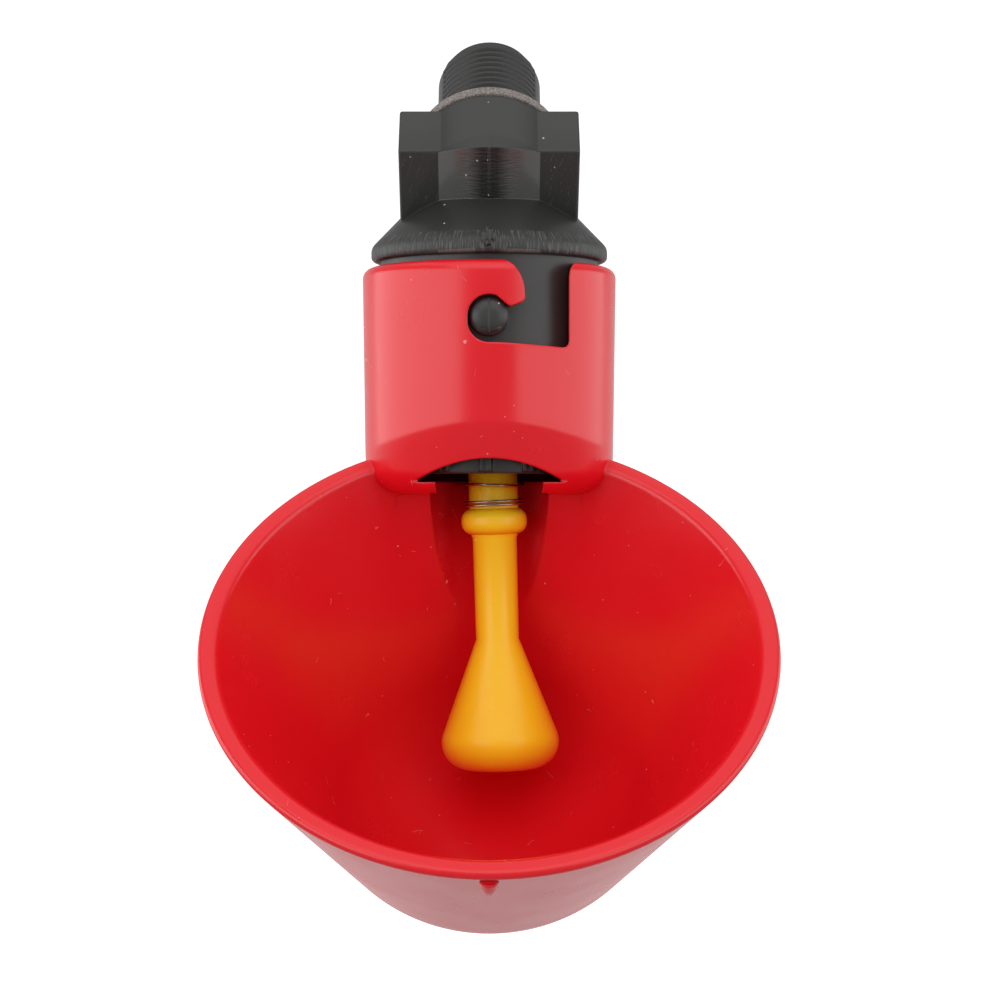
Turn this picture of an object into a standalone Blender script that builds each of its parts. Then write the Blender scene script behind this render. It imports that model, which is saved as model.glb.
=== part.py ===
# Poultry drinking cup: a red cup hung by a bayonet collar on an angled valve, which
# screws into a water pipe and lets water down a sprung yellow trigger.
#
# Frame: the origin is on the thread axis at the gasket's outer face, +Y runs out along
# the thread, +Z is up, and the cup's front lip points to -Y. The socket axis, which the
# saucer, neck, collar and trigger share, leans 45 degrees. "Down" along it is distance
# below its origin, which lies just above the collar's top. All sizes are in metres.

import math

import bmesh
import bpy
from mathutils import Matrix, Vector

MM = 0.001

# Clearances
TOUCH_GAP = 0.3 * MM
RUNNING_GAP = 0.35 * MM
OVERRUN = 2.0 * MM
SEAM_OVERLAP = 0.15 * MM
MERGE = 0.00001

# Pipe spigot and gasket
THREAD_RADIUS = 8.2 * MM
THREAD_DEPTH = 0.62 * MM
THREAD_LENGTH = 19.3 * MM
THREAD_LEAD_IN = 4.0 * MM
THREAD_TIP_RADIUS = 6.6 * MM
LAND_HALF_HEIGHT = 3.6 * MM
INLET_RADIUS = 4.2 * MM
GASKET_THICKNESS = 2.0 * MM
GASKET_RADIUS = 11.6 * MM

# Wrench block behind the socket
BLOCK_HALF_WIDTH = 13.9 * MM
BLOCK_HALF_HEIGHT = 8.5 * MM
BLOCK_LENGTH = 10.3 * MM
BLOCK_EDGE = 0.4 * MM
BOSS_RADIUS = 11.3 * MM
COLUMN_HALF_WIDTH = 7.8 * MM
COLUMN_BULGE = 1.7 * MM

# Socket: saucer, neck and bayonet pins
SOCKET_ANGLE = math.radians(45.0)
SOCKET_FORWARD = 12.4 * MM
SOCKET_DROP = 14.5 * MM
NECK_RADIUS = 17.2 * MM
SAUCER_OVERHANG = 1.5 * MM
SAUCER_RADIUS = NECK_RADIUS + SAUCER_OVERHANG
SAUCER_RIM_HEIGHT = 2.9 * MM
CUP_LIFT_GAP = 1.0 * MM
SAUCER_RIM_ROUND = 0.8 * MM
SAUCER_EDGE_ROUND = 1.8 * MM
SAUCER_SLOPE = math.radians(46.0)
SAUCER_TOP_RADIUS = 12.2 * MM
NECK_LENGTH = 28.4 * MM
NECK_END_ROUND = 0.8 * MM
PIN_RADIUS = 2.95 * MM
PIN_DOWN = 9.0 * MM
PIN_STAND_OUT = 2.8 * MM
CHAMBER_RADIUS = 10.0 * MM
CHAMBER_TOP = 1.0 * MM
RISER_RADIUS = 3.5 * MM
RISER_FORWARD = 8.0 * MM

# Retaining nut, which closes the neck and carries the seat
NUT_INSET = 2.3 * MM
NUT_RADIUS = NECK_RADIUS - NUT_INSET
NUT_HEIGHT = 4.1 * MM
NECK_END_WALL = 3.9 * MM
NUT_PLUG_RADIUS = NECK_RADIUS - NECK_END_WALL - TOUCH_GAP
NUT_PLUG_LENGTH = 4.6 * MM
NUT_WEB = 1.5 * MM
NUT_WEB_RADIUS = 5.2 * MM
NUT_RIBS = 14
NUT_RIB_HALF_WIDTH = 0.95 * MM
NUT_RIB_TURN = math.radians(-2.2)
NUT_RIB_HEIGHT = 0.5 * MM
SPRING_POCKET_RADIUS = 6.9 * MM
SPRING_POCKET_DEPTH = 3.3 * MM
SEAT_THICKNESS = 1.5 * MM
SEAT_HOLE_RADIUS = 5.3 * MM
SEAT_RADIUS = 8.2 * MM

# Valve head: part of a ball that rocks on the seat's inner edge
HEAD_BALL_RADIUS = 6.0 * MM
HEAD_HEIGHT_OVER_PIVOT = 2.2 * MM
HEAD_BORE_RADIUS = 2.5 * MM

# Trigger and its spring
TRIGGER_LEAN = math.radians(1.6)
TRIGGER_SHIFT = 0.3 * MM
STEM_TIP_RADIUS = 2.0 * MM
STEM_UPPER_RADIUS = 3.9 * MM
STEM_SHOULDER_GAP = 0.5 * MM
FLANGE_RADIUS = 5.2 * MM
FLANGE_HEIGHT = 4.2 * MM
FLANGE_BELOW_FLOOR = 4.2 * MM
SHAFT_TOP_RADIUS = 3.5 * MM
SHAFT_END_RADIUS = 3.4 * MM
SHAFT_TO_BELL = 16.3 * MM
BELL_RADIUS = 9.3 * MM
BELL_END_ROUND = 4.3 * MM
BELL_TO_FLOOR = 11.475 * MM
SPRING_WIRE = 0.43 * MM
SPRING_RADIUS = 4.75 * MM
SPRING_TOP_RADIUS = 5.1 * MM
SPRING_TOP_GAP = 0.8 * MM
SPRING_TURNS = 3.5
SPRING_START = math.pi
SPRING_CLOSED_TURNS = 1.5

# Cup: collar with bayonet slots, and the bowl
COLLAR_WALL = 2.5 * MM
COLLAR_DRAFT = 0.45 * MM
COLLAR_RADIUS = NECK_RADIUS + RUNNING_GAP + COLLAR_WALL
COLLAR_FOOT_RADIUS = COLLAR_RADIUS - COLLAR_DRAFT
COLLAR_TOP_ROUND = 1.7 * MM
COLLAR_FOOT_ROUND = 3.5 * MM
NUT_TO_FLOOR_GAP = 1.2 * MM
FLOOR_THICKNESS = 2.0 * MM
RECESS_RADIUS = 9.4 * MM
RECESS_WALL = 2.4 * MM
RECESS_FORWARD = 2.8 * MM
MOUTH_RADIUS = 43.1 * MM
MOUTH_FORWARD = 75.5 * MM
BOWL_DEPTH = 49.0 * MM
BOWL_FOOT_DROP = 81.3 * MM
BOWL_FOOT_RADIUS = 19.9 * MM
BOWL_FOOT_ROUND = 21.6 * MM
BOWL_WALL = 2.4 * MM
RIM_ROUND = 0.9 * MM
RIM_INNER_ROUND = 2.0 * MM
NUB_DOWN = 3.0 * MM
NUB_HALF_WIDTH = 1.2 * MM
NUB_HEIGHT = 2.6 * MM
NUB_STAND_OUT = 0.9 * MM

# Outline of one bayonet slot, seen along the pin, measured from the pin's centre
POCKET_GAP = 0.35 * MM
SLOT_FLOOR_BELOW_PIN = 4.0 * MM
SLOT_FLOOR_FALL = 0.6 * MM
CHANNEL_LEFT = 5.4 * MM
CHANNEL_RIGHT = 12.2 * MM
CHANNEL_CORNER = 1.0 * MM
HOOK_TIP_ACROSS = 3.3 * MM
HOOK_TIP_ABOVE = 1.5 * MM
HOOK_SIDE_ABOVE = 2.65 * MM
HOOK_ROUND_WIDTH = 2.3 * MM
HOOK_ROUND_HEIGHT = 4.6 * MM

# Arched lower lip of the collar, measured from the bore's floor
LIP_HALF_WIDTH = 12.0 * MM
LIP_RISE = 3.5 * MM
LIP_SIDE_RISE = 0.2 * MM
LIP_FOOT_FALL = 0.15 * MM
NOTCH_INSET = 0.4 * MM

# Round counts
BIG_ROUND = 72
MID_ROUND = 36
SMALL_ROUND = 18
NUT_ROUND_PER_RIB = 4
SPRING_POINTS_PER_TURN = 12


# Scene set-up and small helpers

def clear_scene():
    for item in list(bpy.data.objects):
        bpy.data.objects.remove(item, do_unlink=True)


def make_collection(name):
    collection = bpy.data.collections.new(name)
    bpy.context.scene.collection.children.link(collection)
    return collection


def make_material(name, colour, roughness, metallic=0.0):
    material = bpy.data.materials.new(name)
    material.use_nodes = True
    shader = material.node_tree.nodes["Principled BSDF"]
    shader.inputs["Base Color"].default_value = (*colour, 1.0)
    shader.inputs["Roughness"].default_value = roughness
    shader.inputs["Metallic"].default_value = metallic
    material.diffuse_color = (*colour, 1.0)
    return material


def place(item, collection, frame):
    """Link an object and stand it in a frame: a matrix in world space."""
    collection.objects.link(item)
    item.matrix_world = frame
    return item


def as_cutter(item):
    item.hide_render = True
    item.display_type = "WIRE"
    return item


def object_from_bmesh(name, shape, collection, frame):
    mesh = bpy.data.meshes.new(name)
    shape.to_mesh(mesh)
    shape.free()
    return place(bpy.data.objects.new(name, mesh), collection, frame)


def lathe(name, profile, collection, frame, rounds=MID_ROUND):
    """Turn a profile of (radius, height) points, listed down its outer side."""
    shape = bmesh.new()
    closed = profile[0] == profile[-1]
    corners = profile[:-1] if closed else profile
    points = [shape.verts.new((radius, 0.0, height)) for radius, height in corners]
    ends = points[1:] + points[:1] if closed else points[1:]
    for first, second in zip(points, ends):
        shape.edges.new((first, second))
    item = object_from_bmesh(name, shape, collection, frame)
    screw = item.modifiers.new("Turn", "SCREW")
    screw.axis = "Z"
    screw.steps = rounds
    screw.render_steps = rounds
    screw.use_merge_vertices = True
    screw.merge_threshold = MERGE
    screw.use_smooth_shade = True
    return item


def between(frame, rounds):
    """A frame turned half a facet, so coaxial pieces never share a corner line."""
    return frame @ Matrix.Rotation(math.pi / rounds, 4, "Z")


def ring_profile(inner, outer, top, bottom):
    """Closed section of a plain ring, from its bore over the top and back."""
    return [(inner, bottom), (inner, top), (outer, top), (outer, bottom), (inner, bottom)]


def rod_profile(radius, top, bottom):
    return [(0.0, top), (radius, top), (radius, bottom), (0.0, bottom)]


def arc(centre, radius, start, end, steps):
    """Points on an arc in a plane, with angles in degrees."""
    points = []
    for step in range(steps + 1):
        angle = math.radians(start + (end - start) * step / steps)
        points.append((centre[0] + radius * math.cos(angle), centre[1] + radius * math.sin(angle)))
    return points


def box(name, low, high, collection, frame):
    shape = bmesh.new()
    bmesh.ops.create_cube(shape, size=1.0)
    size = Vector(high) - Vector(low)
    middle = (Vector(high) + Vector(low)) / 2
    bmesh.ops.scale(shape, vec=size, verts=shape.verts)
    bmesh.ops.translate(shape, vec=middle, verts=shape.verts)
    return object_from_bmesh(name, shape, collection, frame)


def prism(name, outline, near, far, collection, frame):
    """Extrude an outline of (x, z) points along y, from near to far."""
    shape = bmesh.new()
    face = shape.faces.new([shape.verts.new((x, near, z)) for x, z in outline])
    grown = bmesh.ops.extrude_face_region(shape, geom=[face])
    moved = [part for part in grown["geom"] if isinstance(part, bmesh.types.BMVert)]
    bmesh.ops.translate(shape, vec=(0.0, far - near, 0.0), verts=moved)
    bmesh.ops.recalc_face_normals(shape, faces=shape.faces)
    return object_from_bmesh(name, shape, collection, frame)


def boolean(item, other, operation):
    modifier = item.modifiers.new(operation.title(), "BOOLEAN")
    modifier.operation = operation
    modifier.solver = "EXACT"
    modifier.object = as_cutter(other)
    return modifier


def finish(item, material):
    """Give an object its material and round shading with crisp edges."""
    item.data.materials.clear()
    item.data.materials.append(material)
    for face in item.data.polygons:
        face.use_smooth = True
    return item


# Frames

def pipe_frame():
    """Local +Z runs out along the thread, from the gasket's outer face."""
    return Matrix.Rotation(-math.pi / 2, 4, "X")


def socket_frame():
    """Local +Z runs up the socket axis, from just above the collar; -Y is the front."""
    origin = Vector((0.0, -SOCKET_FORWARD, -SOCKET_DROP))
    return Matrix.Translation(origin) @ Matrix.Rotation(-SOCKET_ANGLE, 4, "X")


def bowl_frame():
    """Local origin is the middle of the bowl's mouth, with +Z up."""
    return Matrix.Translation((0.0, -MOUTH_FORWARD, BOWL_DEPTH - BOWL_FOOT_DROP))


def nut_bottom_down():
    return NECK_LENGTH + TOUCH_GAP + NUT_HEIGHT


def web_bottom_down():
    return nut_bottom_down() - SPRING_POCKET_DEPTH


def bore_depth():
    return nut_bottom_down() + NUT_TO_FLOOR_GAP


def flange_down():
    return bore_depth() + FLANGE_BELOW_FLOOR


def bell_end_down():
    """The bell stops short of where the socket axis meets the bowl's inside floor."""
    fall = BOWL_FOOT_DROP - BOWL_WALL - SOCKET_DROP
    return fall / math.cos(SOCKET_ANGLE) - BELL_TO_FLOOR


def seat_top_down():
    return web_bottom_down() - NUT_WEB - TOUCH_GAP - SEAT_THICKNESS


def pivot_down():
    """Depth of the ball's centre, with the ball a touch clear of the seat's edge."""
    reach = HEAD_BALL_RADIUS + TOUCH_GAP
    return seat_top_down() - math.sqrt(reach ** 2 - SEAT_HOLE_RADIUS ** 2)


def trigger_frame():
    """Local +Z runs up the leaning trigger, with its origin at the pivot."""
    lean = Matrix.Rotation(-TRIGGER_LEAN, 4, "Y")
    return socket_frame() @ Matrix.Translation((TRIGGER_SHIFT, 0.0, -pivot_down())) @ lean


# Valve body

def saucer_and_neck(parts):
    slope = math.tan(SAUCER_SLOPE)
    top = SAUCER_RIM_HEIGHT + (SAUCER_RADIUS - SAUCER_TOP_RADIUS) * slope
    underside = CUP_LIFT_GAP - TOUCH_GAP
    round_centre = (SAUCER_RADIUS - SAUCER_RIM_ROUND, underside + SAUCER_RIM_ROUND)
    fall = SAUCER_EDGE_ROUND * math.tan((math.pi / 2 - SAUCER_SLOPE) / 2)
    edge_centre = (SAUCER_RADIUS - SAUCER_EDGE_ROUND, SAUCER_RIM_HEIGHT - fall)
    profile = [(0.0, top), (SAUCER_TOP_RADIUS, top)]
    profile += arc(edge_centre, SAUCER_EDGE_ROUND, 90.0 - math.degrees(SAUCER_SLOPE), 0.0, 3)
    profile += arc(round_centre, SAUCER_RIM_ROUND, 0.0, -90.0, 2)
    profile += [(NECK_RADIUS, underside)]
    foot = (NECK_RADIUS - NECK_END_ROUND, -NECK_LENGTH + NECK_END_ROUND)
    profile += arc(foot, NECK_END_ROUND, 0.0, -90.0, 3)
    profile += [(0.0, -NECK_LENGTH)]
    return lathe("valve_body", profile, parts, socket_frame(), BIG_ROUND)


def flatten_behind_seat(body, cutters):
    """The saucer's cone stops at the plane of the gasket's seat."""
    back = -GASKET_THICKNESS
    reach = SAUCER_RADIUS * 2
    low = (-reach, back, -SOCKET_DROP - SAUCER_RIM_HEIGHT)
    high = (reach, reach, reach)
    boolean(body, box("seat_plane_cut", low, high, cutters, Matrix.Identity(4)), "DIFFERENCE")


def add_wrench_block(body, cutters):
    front = -GASKET_THICKNESS - BLOCK_LENGTH
    low = (-BLOCK_HALF_WIDTH, front, -BLOCK_HALF_HEIGHT)
    high = (BLOCK_HALF_WIDTH, -GASKET_THICKNESS, BLOCK_HALF_HEIGHT)
    block = box("wrench_block", low, high, cutters, Matrix.Identity(4))
    edge = block.modifiers.new("Edges", "BEVEL")
    edge.width = BLOCK_EDGE
    edge.segments = 2
    boolean(body, block, "UNION")
    section = rod_profile(BOSS_RADIUS, -GASKET_THICKNESS, front + SEAM_OVERLAP)
    boss = lathe("boss", section, cutters, between(pipe_frame(), MID_ROUND))
    boolean(body, boss, "UNION")


def add_front_column(body, cutters):
    """A shallow bulge on the block's front, as wide as the boss is above the block."""
    front = -GASKET_THICKNESS - BLOCK_LENGTH
    nose = front - COLUMN_BULGE
    section = rod_profile(BOSS_RADIUS, front + OVERRUN, nose - OVERRUN)
    column = lathe("front_column", section, cutters, pipe_frame())
    radius = (COLUMN_HALF_WIDTH ** 2 + COLUMN_BULGE ** 2) / (2 * COLUMN_BULGE)
    frame = Matrix.Translation((0.0, nose + radius, 0.0))
    height = BOSS_RADIUS + OVERRUN
    drum = lathe("column_drum", rod_profile(radius, height, -height), cutters, frame, BIG_ROUND)
    boolean(column, drum, "INTERSECT")
    boolean(body, column, "UNION")


def add_spigot(body, cutters):
    """Pipe spigot, relieved to the thread's root above and below its two side lands."""
    lead = THREAD_LENGTH - THREAD_LEAD_IN
    start = -GASKET_THICKNESS - OVERRUN
    profile = [(0.0, THREAD_LENGTH), (THREAD_TIP_RADIUS, THREAD_LENGTH), (THREAD_RADIUS, lead)]
    profile += [(THREAD_RADIUS, start), (0.0, start)]
    boolean(body, lathe("spigot", profile, cutters, pipe_frame()), "UNION")
    root = THREAD_RADIUS - THREAD_DEPTH
    taper = (THREAD_RADIUS - THREAD_TIP_RADIUS) / THREAD_LEAD_IN
    low = TOUCH_GAP - GASKET_THICKNESS
    high = THREAD_LENGTH + OVERRUN
    outer = THREAD_RADIUS + OVERRUN
    ring = [(root, low), (root, lead), (root - taper * (high - lead), high)]
    ring += [(outer, high), (outer, low), (root, low)]
    relief = lathe("thread_relief", ring, cutters, between(pipe_frame(), MID_ROUND))
    low = (-outer - OVERRUN, -high - OVERRUN, -LAND_HALF_HEIGHT)
    high = (outer + OVERRUN, high + OVERRUN, LAND_HALF_HEIGHT)
    boolean(relief, box("land_slab", low, high, cutters, Matrix.Identity(4)), "DIFFERENCE")
    boolean(body, relief, "DIFFERENCE")


def add_pins(body, cutters):
    """Two bayonet pins, one at the front of the neck and one at the back."""
    for name, turn in (("front_pin", math.pi / 2), ("back_pin", -math.pi / 2)):
        tilt = Matrix.Translation((0.0, 0.0, -PIN_DOWN)) @ Matrix.Rotation(turn, 4, "X")
        tip = NECK_RADIUS + PIN_STAND_OUT
        dome = 0.3 * PIN_RADIUS
        profile = [(0.0, tip), (PIN_RADIUS * 0.6, tip - dome * 0.35), (PIN_RADIUS, tip - dome)]
        profile += [(PIN_RADIUS, NECK_RADIUS - OVERRUN), (0.0, NECK_RADIUS - OVERRUN)]
        pin = lathe(name, profile, cutters, socket_frame() @ tilt, SMALL_ROUND)
        boolean(body, pin, "UNION")


def cut_water_way(body, cutters):
    """Inlet along the thread, a riser down into the saucer, and the neck's chamber."""
    inlet = rod_profile(INLET_RADIUS, THREAD_LENGTH + OVERRUN, -RISER_FORWARD - RISER_RADIUS)
    bore = lathe("inlet_bore", inlet, cutters, between(pipe_frame(), MID_ROUND), SMALL_ROUND)
    boolean(body, bore, "DIFFERENCE")
    plug_top = NECK_LENGTH - NUT_PLUG_LENGTH
    profile = [(0.0, -CHAMBER_TOP), (CHAMBER_RADIUS, -CHAMBER_TOP), (CHAMBER_RADIUS, -plug_top)]
    socket = NUT_PLUG_RADIUS + TOUCH_GAP
    profile += [(socket, -plug_top), (socket, -NECK_LENGTH - OVERRUN), (0.0, -NECK_LENGTH - OVERRUN)]
    boolean(body, lathe("neck_chamber", profile, cutters, between(socket_frame(), BIG_ROUND)), "DIFFERENCE")
    depth = SOCKET_DROP + CHAMBER_RADIUS / 2
    frame = Matrix.Translation((0.0, -RISER_FORWARD, 0.0))
    riser = lathe("riser", rod_profile(RISER_RADIUS, 0.0, -depth), cutters, frame, SMALL_ROUND)
    boolean(body, riser, "DIFFERENCE")


def make_valve_body(parts, cutters, plastic):
    body = saucer_and_neck(parts)
    flatten_behind_seat(body, cutters)
    add_wrench_block(body, cutters)
    add_front_column(body, cutters)
    add_spigot(body, cutters)
    add_pins(body, cutters)
    cut_water_way(body, cutters)
    return finish(body, plastic)


# Small valve pieces

def make_gasket(parts, fibre):
    inner = THREAD_RADIUS + TOUCH_GAP
    profile = ring_profile(inner, GASKET_RADIUS, 0.0, TOUCH_GAP - GASKET_THICKNESS)
    return finish(lathe("thread_gasket", profile, parts, pipe_frame()), fibre)


def make_nut(parts, cutters, plastic):
    """Ribbed flange under the neck, a plug inside it, and a pocket for the spring."""
    flange_top = -NECK_LENGTH - TOUCH_GAP
    plug_top = flange_top + NUT_PLUG_LENGTH
    bottom = -nut_bottom_down()
    web_bottom = -web_bottom_down()
    web_top = web_bottom + NUT_WEB
    well = SEAT_RADIUS + TOUCH_GAP
    profile = [(NUT_WEB_RADIUS, web_bottom), (NUT_WEB_RADIUS, web_top), (well, web_top)]
    profile += [(well, plug_top), (NUT_PLUG_RADIUS, plug_top), (NUT_PLUG_RADIUS, flange_top)]
    profile += [(NUT_RADIUS, flange_top), (NUT_RADIUS, bottom), (SPRING_POCKET_RADIUS, bottom)]
    profile += [(SPRING_POCKET_RADIUS, web_bottom), (NUT_WEB_RADIUS, web_bottom)]
    nut = lathe("retaining_nut", profile, parts, socket_frame(), NUT_RIBS * NUT_ROUND_PER_RIB)
    low = (-NUT_RIB_HALF_WIDTH, NUT_RADIUS - OVERRUN, bottom + TOUCH_GAP)
    high = (NUT_RIB_HALF_WIDTH, NUT_RADIUS + NUT_RIB_HEIGHT, flange_top - TOUCH_GAP)
    for index in range(NUT_RIBS):
        turn = Matrix.Rotation(NUT_RIB_TURN + 2 * math.pi * index / NUT_RIBS, 4, "Z")
        rib = box("nut_rib_%d" % index, low, high, cutters, socket_frame() @ turn)
        boolean(nut, rib, "UNION")
    return finish(nut, plastic)


def make_seat_washer(parts, rubber):
    top = -seat_top_down()
    profile = ring_profile(SEAT_HOLE_RADIUS, SEAT_RADIUS, top, top - SEAT_THICKNESS)
    return finish(lathe("seat_washer", profile, parts, socket_frame()), rubber)


def make_valve_head(parts, rubber):
    """A slice of a ball about the pivot, bored for the tip of the stem."""
    foot = web_bottom_down() - NUT_WEB - pivot_down()
    foot_radius = math.sqrt(HEAD_BALL_RADIUS ** 2 - foot ** 2)
    end = math.degrees(math.atan2(-foot, foot_radius))
    profile = [(HEAD_BORE_RADIUS, -foot), (HEAD_BORE_RADIUS, HEAD_HEIGHT_OVER_PIVOT)]
    profile += [(HEAD_BALL_RADIUS, HEAD_HEIGHT_OVER_PIVOT)]
    profile += arc((0.0, 0.0), HEAD_BALL_RADIUS, 0.0, end, 8)
    profile += [(HEAD_BORE_RADIUS, -foot)]
    return finish(lathe("valve_head", profile, parts, trigger_frame(), SMALL_ROUND), rubber)


def make_trigger(parts, plastic):
    """Stem with its flange, tapering to the bell that the birds nudge."""
    pivot = pivot_down()
    shoulder = pivot - (web_bottom_down() - NUT_WEB) - STEM_SHOULDER_GAP
    flange_top = pivot - flange_down()
    flange_end = flange_top - FLANGE_HEIGHT
    bell_end = pivot - bell_end_down()
    bell_wide = bell_end + BELL_END_ROUND
    shaft_end = bell_wide + SHAFT_TO_BELL
    profile = [(0.0, HEAD_HEIGHT_OVER_PIVOT), (STEM_TIP_RADIUS, HEAD_HEIGHT_OVER_PIVOT)]
    profile += [(STEM_TIP_RADIUS, shoulder), (STEM_UPPER_RADIUS, shoulder), (STEM_UPPER_RADIUS, flange_top)]
    flange_round = 0.45 * FLANGE_HEIGHT
    centre_radius = FLANGE_RADIUS - flange_round
    profile += [(centre_radius, flange_top)]
    profile += arc((centre_radius, flange_top - flange_round), flange_round, 75.0, 0.0, 4)
    profile += arc((centre_radius, flange_end + flange_round), flange_round, 0.0, -90.0, 4)[1:]
    profile += [(SHAFT_TOP_RADIUS, flange_end), (SHAFT_END_RADIUS, shaft_end)]
    centre = (BELL_RADIUS - BELL_END_ROUND, bell_wide)
    profile += arc(centre, BELL_END_ROUND, 18.0, -90.0, 7)
    profile += [(0.0, bell_end)]
    return finish(lathe("trigger_stem", profile, parts, trigger_frame()), plastic)


def spring_points():
    """Centre line from the flange up into the nut, with closed turns at the foot."""
    pivot = pivot_down()
    wire = SPRING_WIRE / 2
    low = pivot - flange_down() + TOUCH_GAP / 2 + wire
    high = pivot - web_bottom_down() - SPRING_TOP_GAP - wire
    closed_rise = SPRING_CLOSED_TURNS * (SPRING_WIRE + 0.1 * MM)
    count = round(SPRING_TURNS * SPRING_POINTS_PER_TURN)
    points = []
    for index in range(count + 1):
        turns = SPRING_TURNS * index / count
        if turns < SPRING_CLOSED_TURNS:
            height = low + closed_rise * turns / SPRING_CLOSED_TURNS
            spread = 0.0
        else:
            share = (turns - SPRING_CLOSED_TURNS) / (SPRING_TURNS - SPRING_CLOSED_TURNS)
            height = low + closed_rise + (high - low - closed_rise) * share
            spread = max(0.0, share * 2 - 1)
        radius = SPRING_RADIUS + (SPRING_TOP_RADIUS - SPRING_RADIUS) * spread
        angle = SPRING_START + 2 * math.pi * turns
        points.append((radius * math.cos(angle), radius * math.sin(angle), height))
    return points


def make_spring(parts, steel):
    curve = bpy.data.curves.new("trigger_spring", "CURVE")
    curve.dimensions = "3D"
    curve.bevel_depth = SPRING_WIRE / 2
    curve.bevel_resolution = 2
    curve.use_fill_caps = True
    points = spring_points()
    spline = curve.splines.new("POLY")
    spline.points.add(len(points) - 1)
    for target, point in zip(spline.points, points):
        target.co = (*point, 1.0)
    curve.materials.append(steel)
    return place(bpy.data.objects.new("trigger_spring", curve), parts, trigger_frame())


# Cup

def bowl_outline(radius, depth, foot_radius, foot_round, top):
    """Wall from the given height above the mouth down to the middle of the foot."""
    slope = (radius - foot_radius) / depth
    wall_angle = math.atan(slope)
    tangent = foot_round * math.tan((math.pi / 2 - wall_angle) / 2)
    centre = (foot_radius - tangent, foot_round - depth)
    points = [(radius + slope * top, top)]
    points += arc(centre, foot_round, -math.degrees(wall_angle), -90.0, 7)
    points += [(0.0, -depth)]
    return points


def inner_sizes():
    """Radius at the mouth, depth, foot radius and foot round of the bowl's inside."""
    slope = (MOUTH_RADIUS - BOWL_FOOT_RADIUS) / BOWL_DEPTH
    sideways = BOWL_WALL * math.sqrt(1 + slope ** 2)
    depth = BOWL_DEPTH - BOWL_WALL
    radius = MOUTH_RADIUS - sideways
    return radius, depth, radius - slope * depth, BOWL_FOOT_ROUND - BOWL_WALL


def bowl_blank(parts):
    """The bowl as a solid, with its rim's outer edge rounded."""
    outline = bowl_outline(MOUTH_RADIUS, BOWL_DEPTH, BOWL_FOOT_RADIUS, BOWL_FOOT_ROUND, -RIM_ROUND)
    corner = (outline[0][0] - RIM_ROUND, -RIM_ROUND)
    profile = [(0.0, 0.0)] + arc(corner, RIM_ROUND, 90.0, 0.0, 3)[:-1] + outline
    return lathe("drinking_cup", profile, parts, bowl_frame(), BIG_ROUND)


def add_collar(cup, cutters):
    """Collar with its floor, hanging into the back of the bowl."""
    top = -TOUCH_GAP
    foot = -bore_depth() - FLOOR_THICKNESS
    top_centre = (COLLAR_RADIUS - COLLAR_TOP_ROUND, top - COLLAR_TOP_ROUND)
    foot_centre = (COLLAR_FOOT_RADIUS - COLLAR_FOOT_ROUND, foot + COLLAR_FOOT_ROUND)
    profile = [(0.0, top)] + arc(top_centre, COLLAR_TOP_ROUND, 90.0, 0.0, 5)
    profile += arc(foot_centre, COLLAR_FOOT_ROUND, 0.0, -90.0, 5)
    profile += [(0.0, foot)]
    boolean(cup, lathe("collar", profile, cutters, socket_frame(), BIG_ROUND), "UNION")


def recess_frame():
    return socket_frame() @ Matrix.Translation((0.0, -RECESS_FORWARD, 0.0))


def recess_end_down():
    """Where the outer back of the recess runs out into the bowl's wall."""
    return bore_depth() + FLOOR_THICKNESS + 3 * RECESS_RADIUS


def add_recess_wall(cup, cutters):
    """Half-round wall behind the hollow that clears the trigger."""
    radius = RECESS_RADIUS + RECESS_WALL
    top = -bore_depth() - FLOOR_THICKNESS / 2
    end = -recess_end_down()
    wall = lathe("recess_wall", rod_profile(radius, top, end), cutters, recess_frame())
    low = (-radius - OVERRUN, -radius - OVERRUN, end - OVERRUN)
    high = (radius + OVERRUN, OVERRUN, top + OVERRUN)
    boolean(wall, box("recess_front", low, high, cutters, recess_frame()), "DIFFERENCE")
    boolean(cup, wall, "UNION")


def cut_bowl(cup, cutters):
    radius, depth, foot_radius, foot_round = inner_sizes()
    lean = math.degrees(math.atan((radius - foot_radius) / depth))
    corner = radius + RIM_INNER_ROUND * math.tan(math.radians(90.0 - lean) / 2)
    profile = [(0.0, OVERRUN), (corner, OVERRUN)]
    profile += arc((corner, -RIM_INNER_ROUND), RIM_INNER_ROUND, 90.0, 180.0 - lean, 3)
    profile += bowl_outline(radius, depth, foot_radius, foot_round, 0.0)[1:]
    inside = lathe("bowl_inside", profile, cutters, between(bowl_frame(), BIG_ROUND), BIG_ROUND)
    boolean(cup, inside, "DIFFERENCE")


def lip_outline():
    """Arched opening over the floor, and a notch below it, seen from the front."""
    floor = -bore_depth()
    arch_steps = 12
    points = []
    for step in range(arch_steps + 1):
        share = 2.0 * step / arch_steps - 1.0
        rise = LIP_SIDE_RISE + (LIP_RISE - LIP_SIDE_RISE) * (1.0 - share ** 2)
        points.append((LIP_HALF_WIDTH * share, floor + rise))
    notch = RECESS_RADIUS - NOTCH_INSET
    foot = floor - LIP_FOOT_FALL
    under = floor - FLOOR_THICKNESS - OVERRUN
    right = [(LIP_HALF_WIDTH, foot), (notch, foot), (notch, under)]
    left = [(-x, z) for x, z in reversed(right)]
    return left + points + right


def cut_lip(cup, cutters):
    """Open the collar's front to the bowl, up to the arched lip."""
    near = -COLLAR_RADIUS - OVERRUN
    slab = prism("lip_cut", lip_outline(), near, -RECESS_FORWARD, cutters, socket_frame())
    boolean(cup, slab, "DIFFERENCE")


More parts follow.
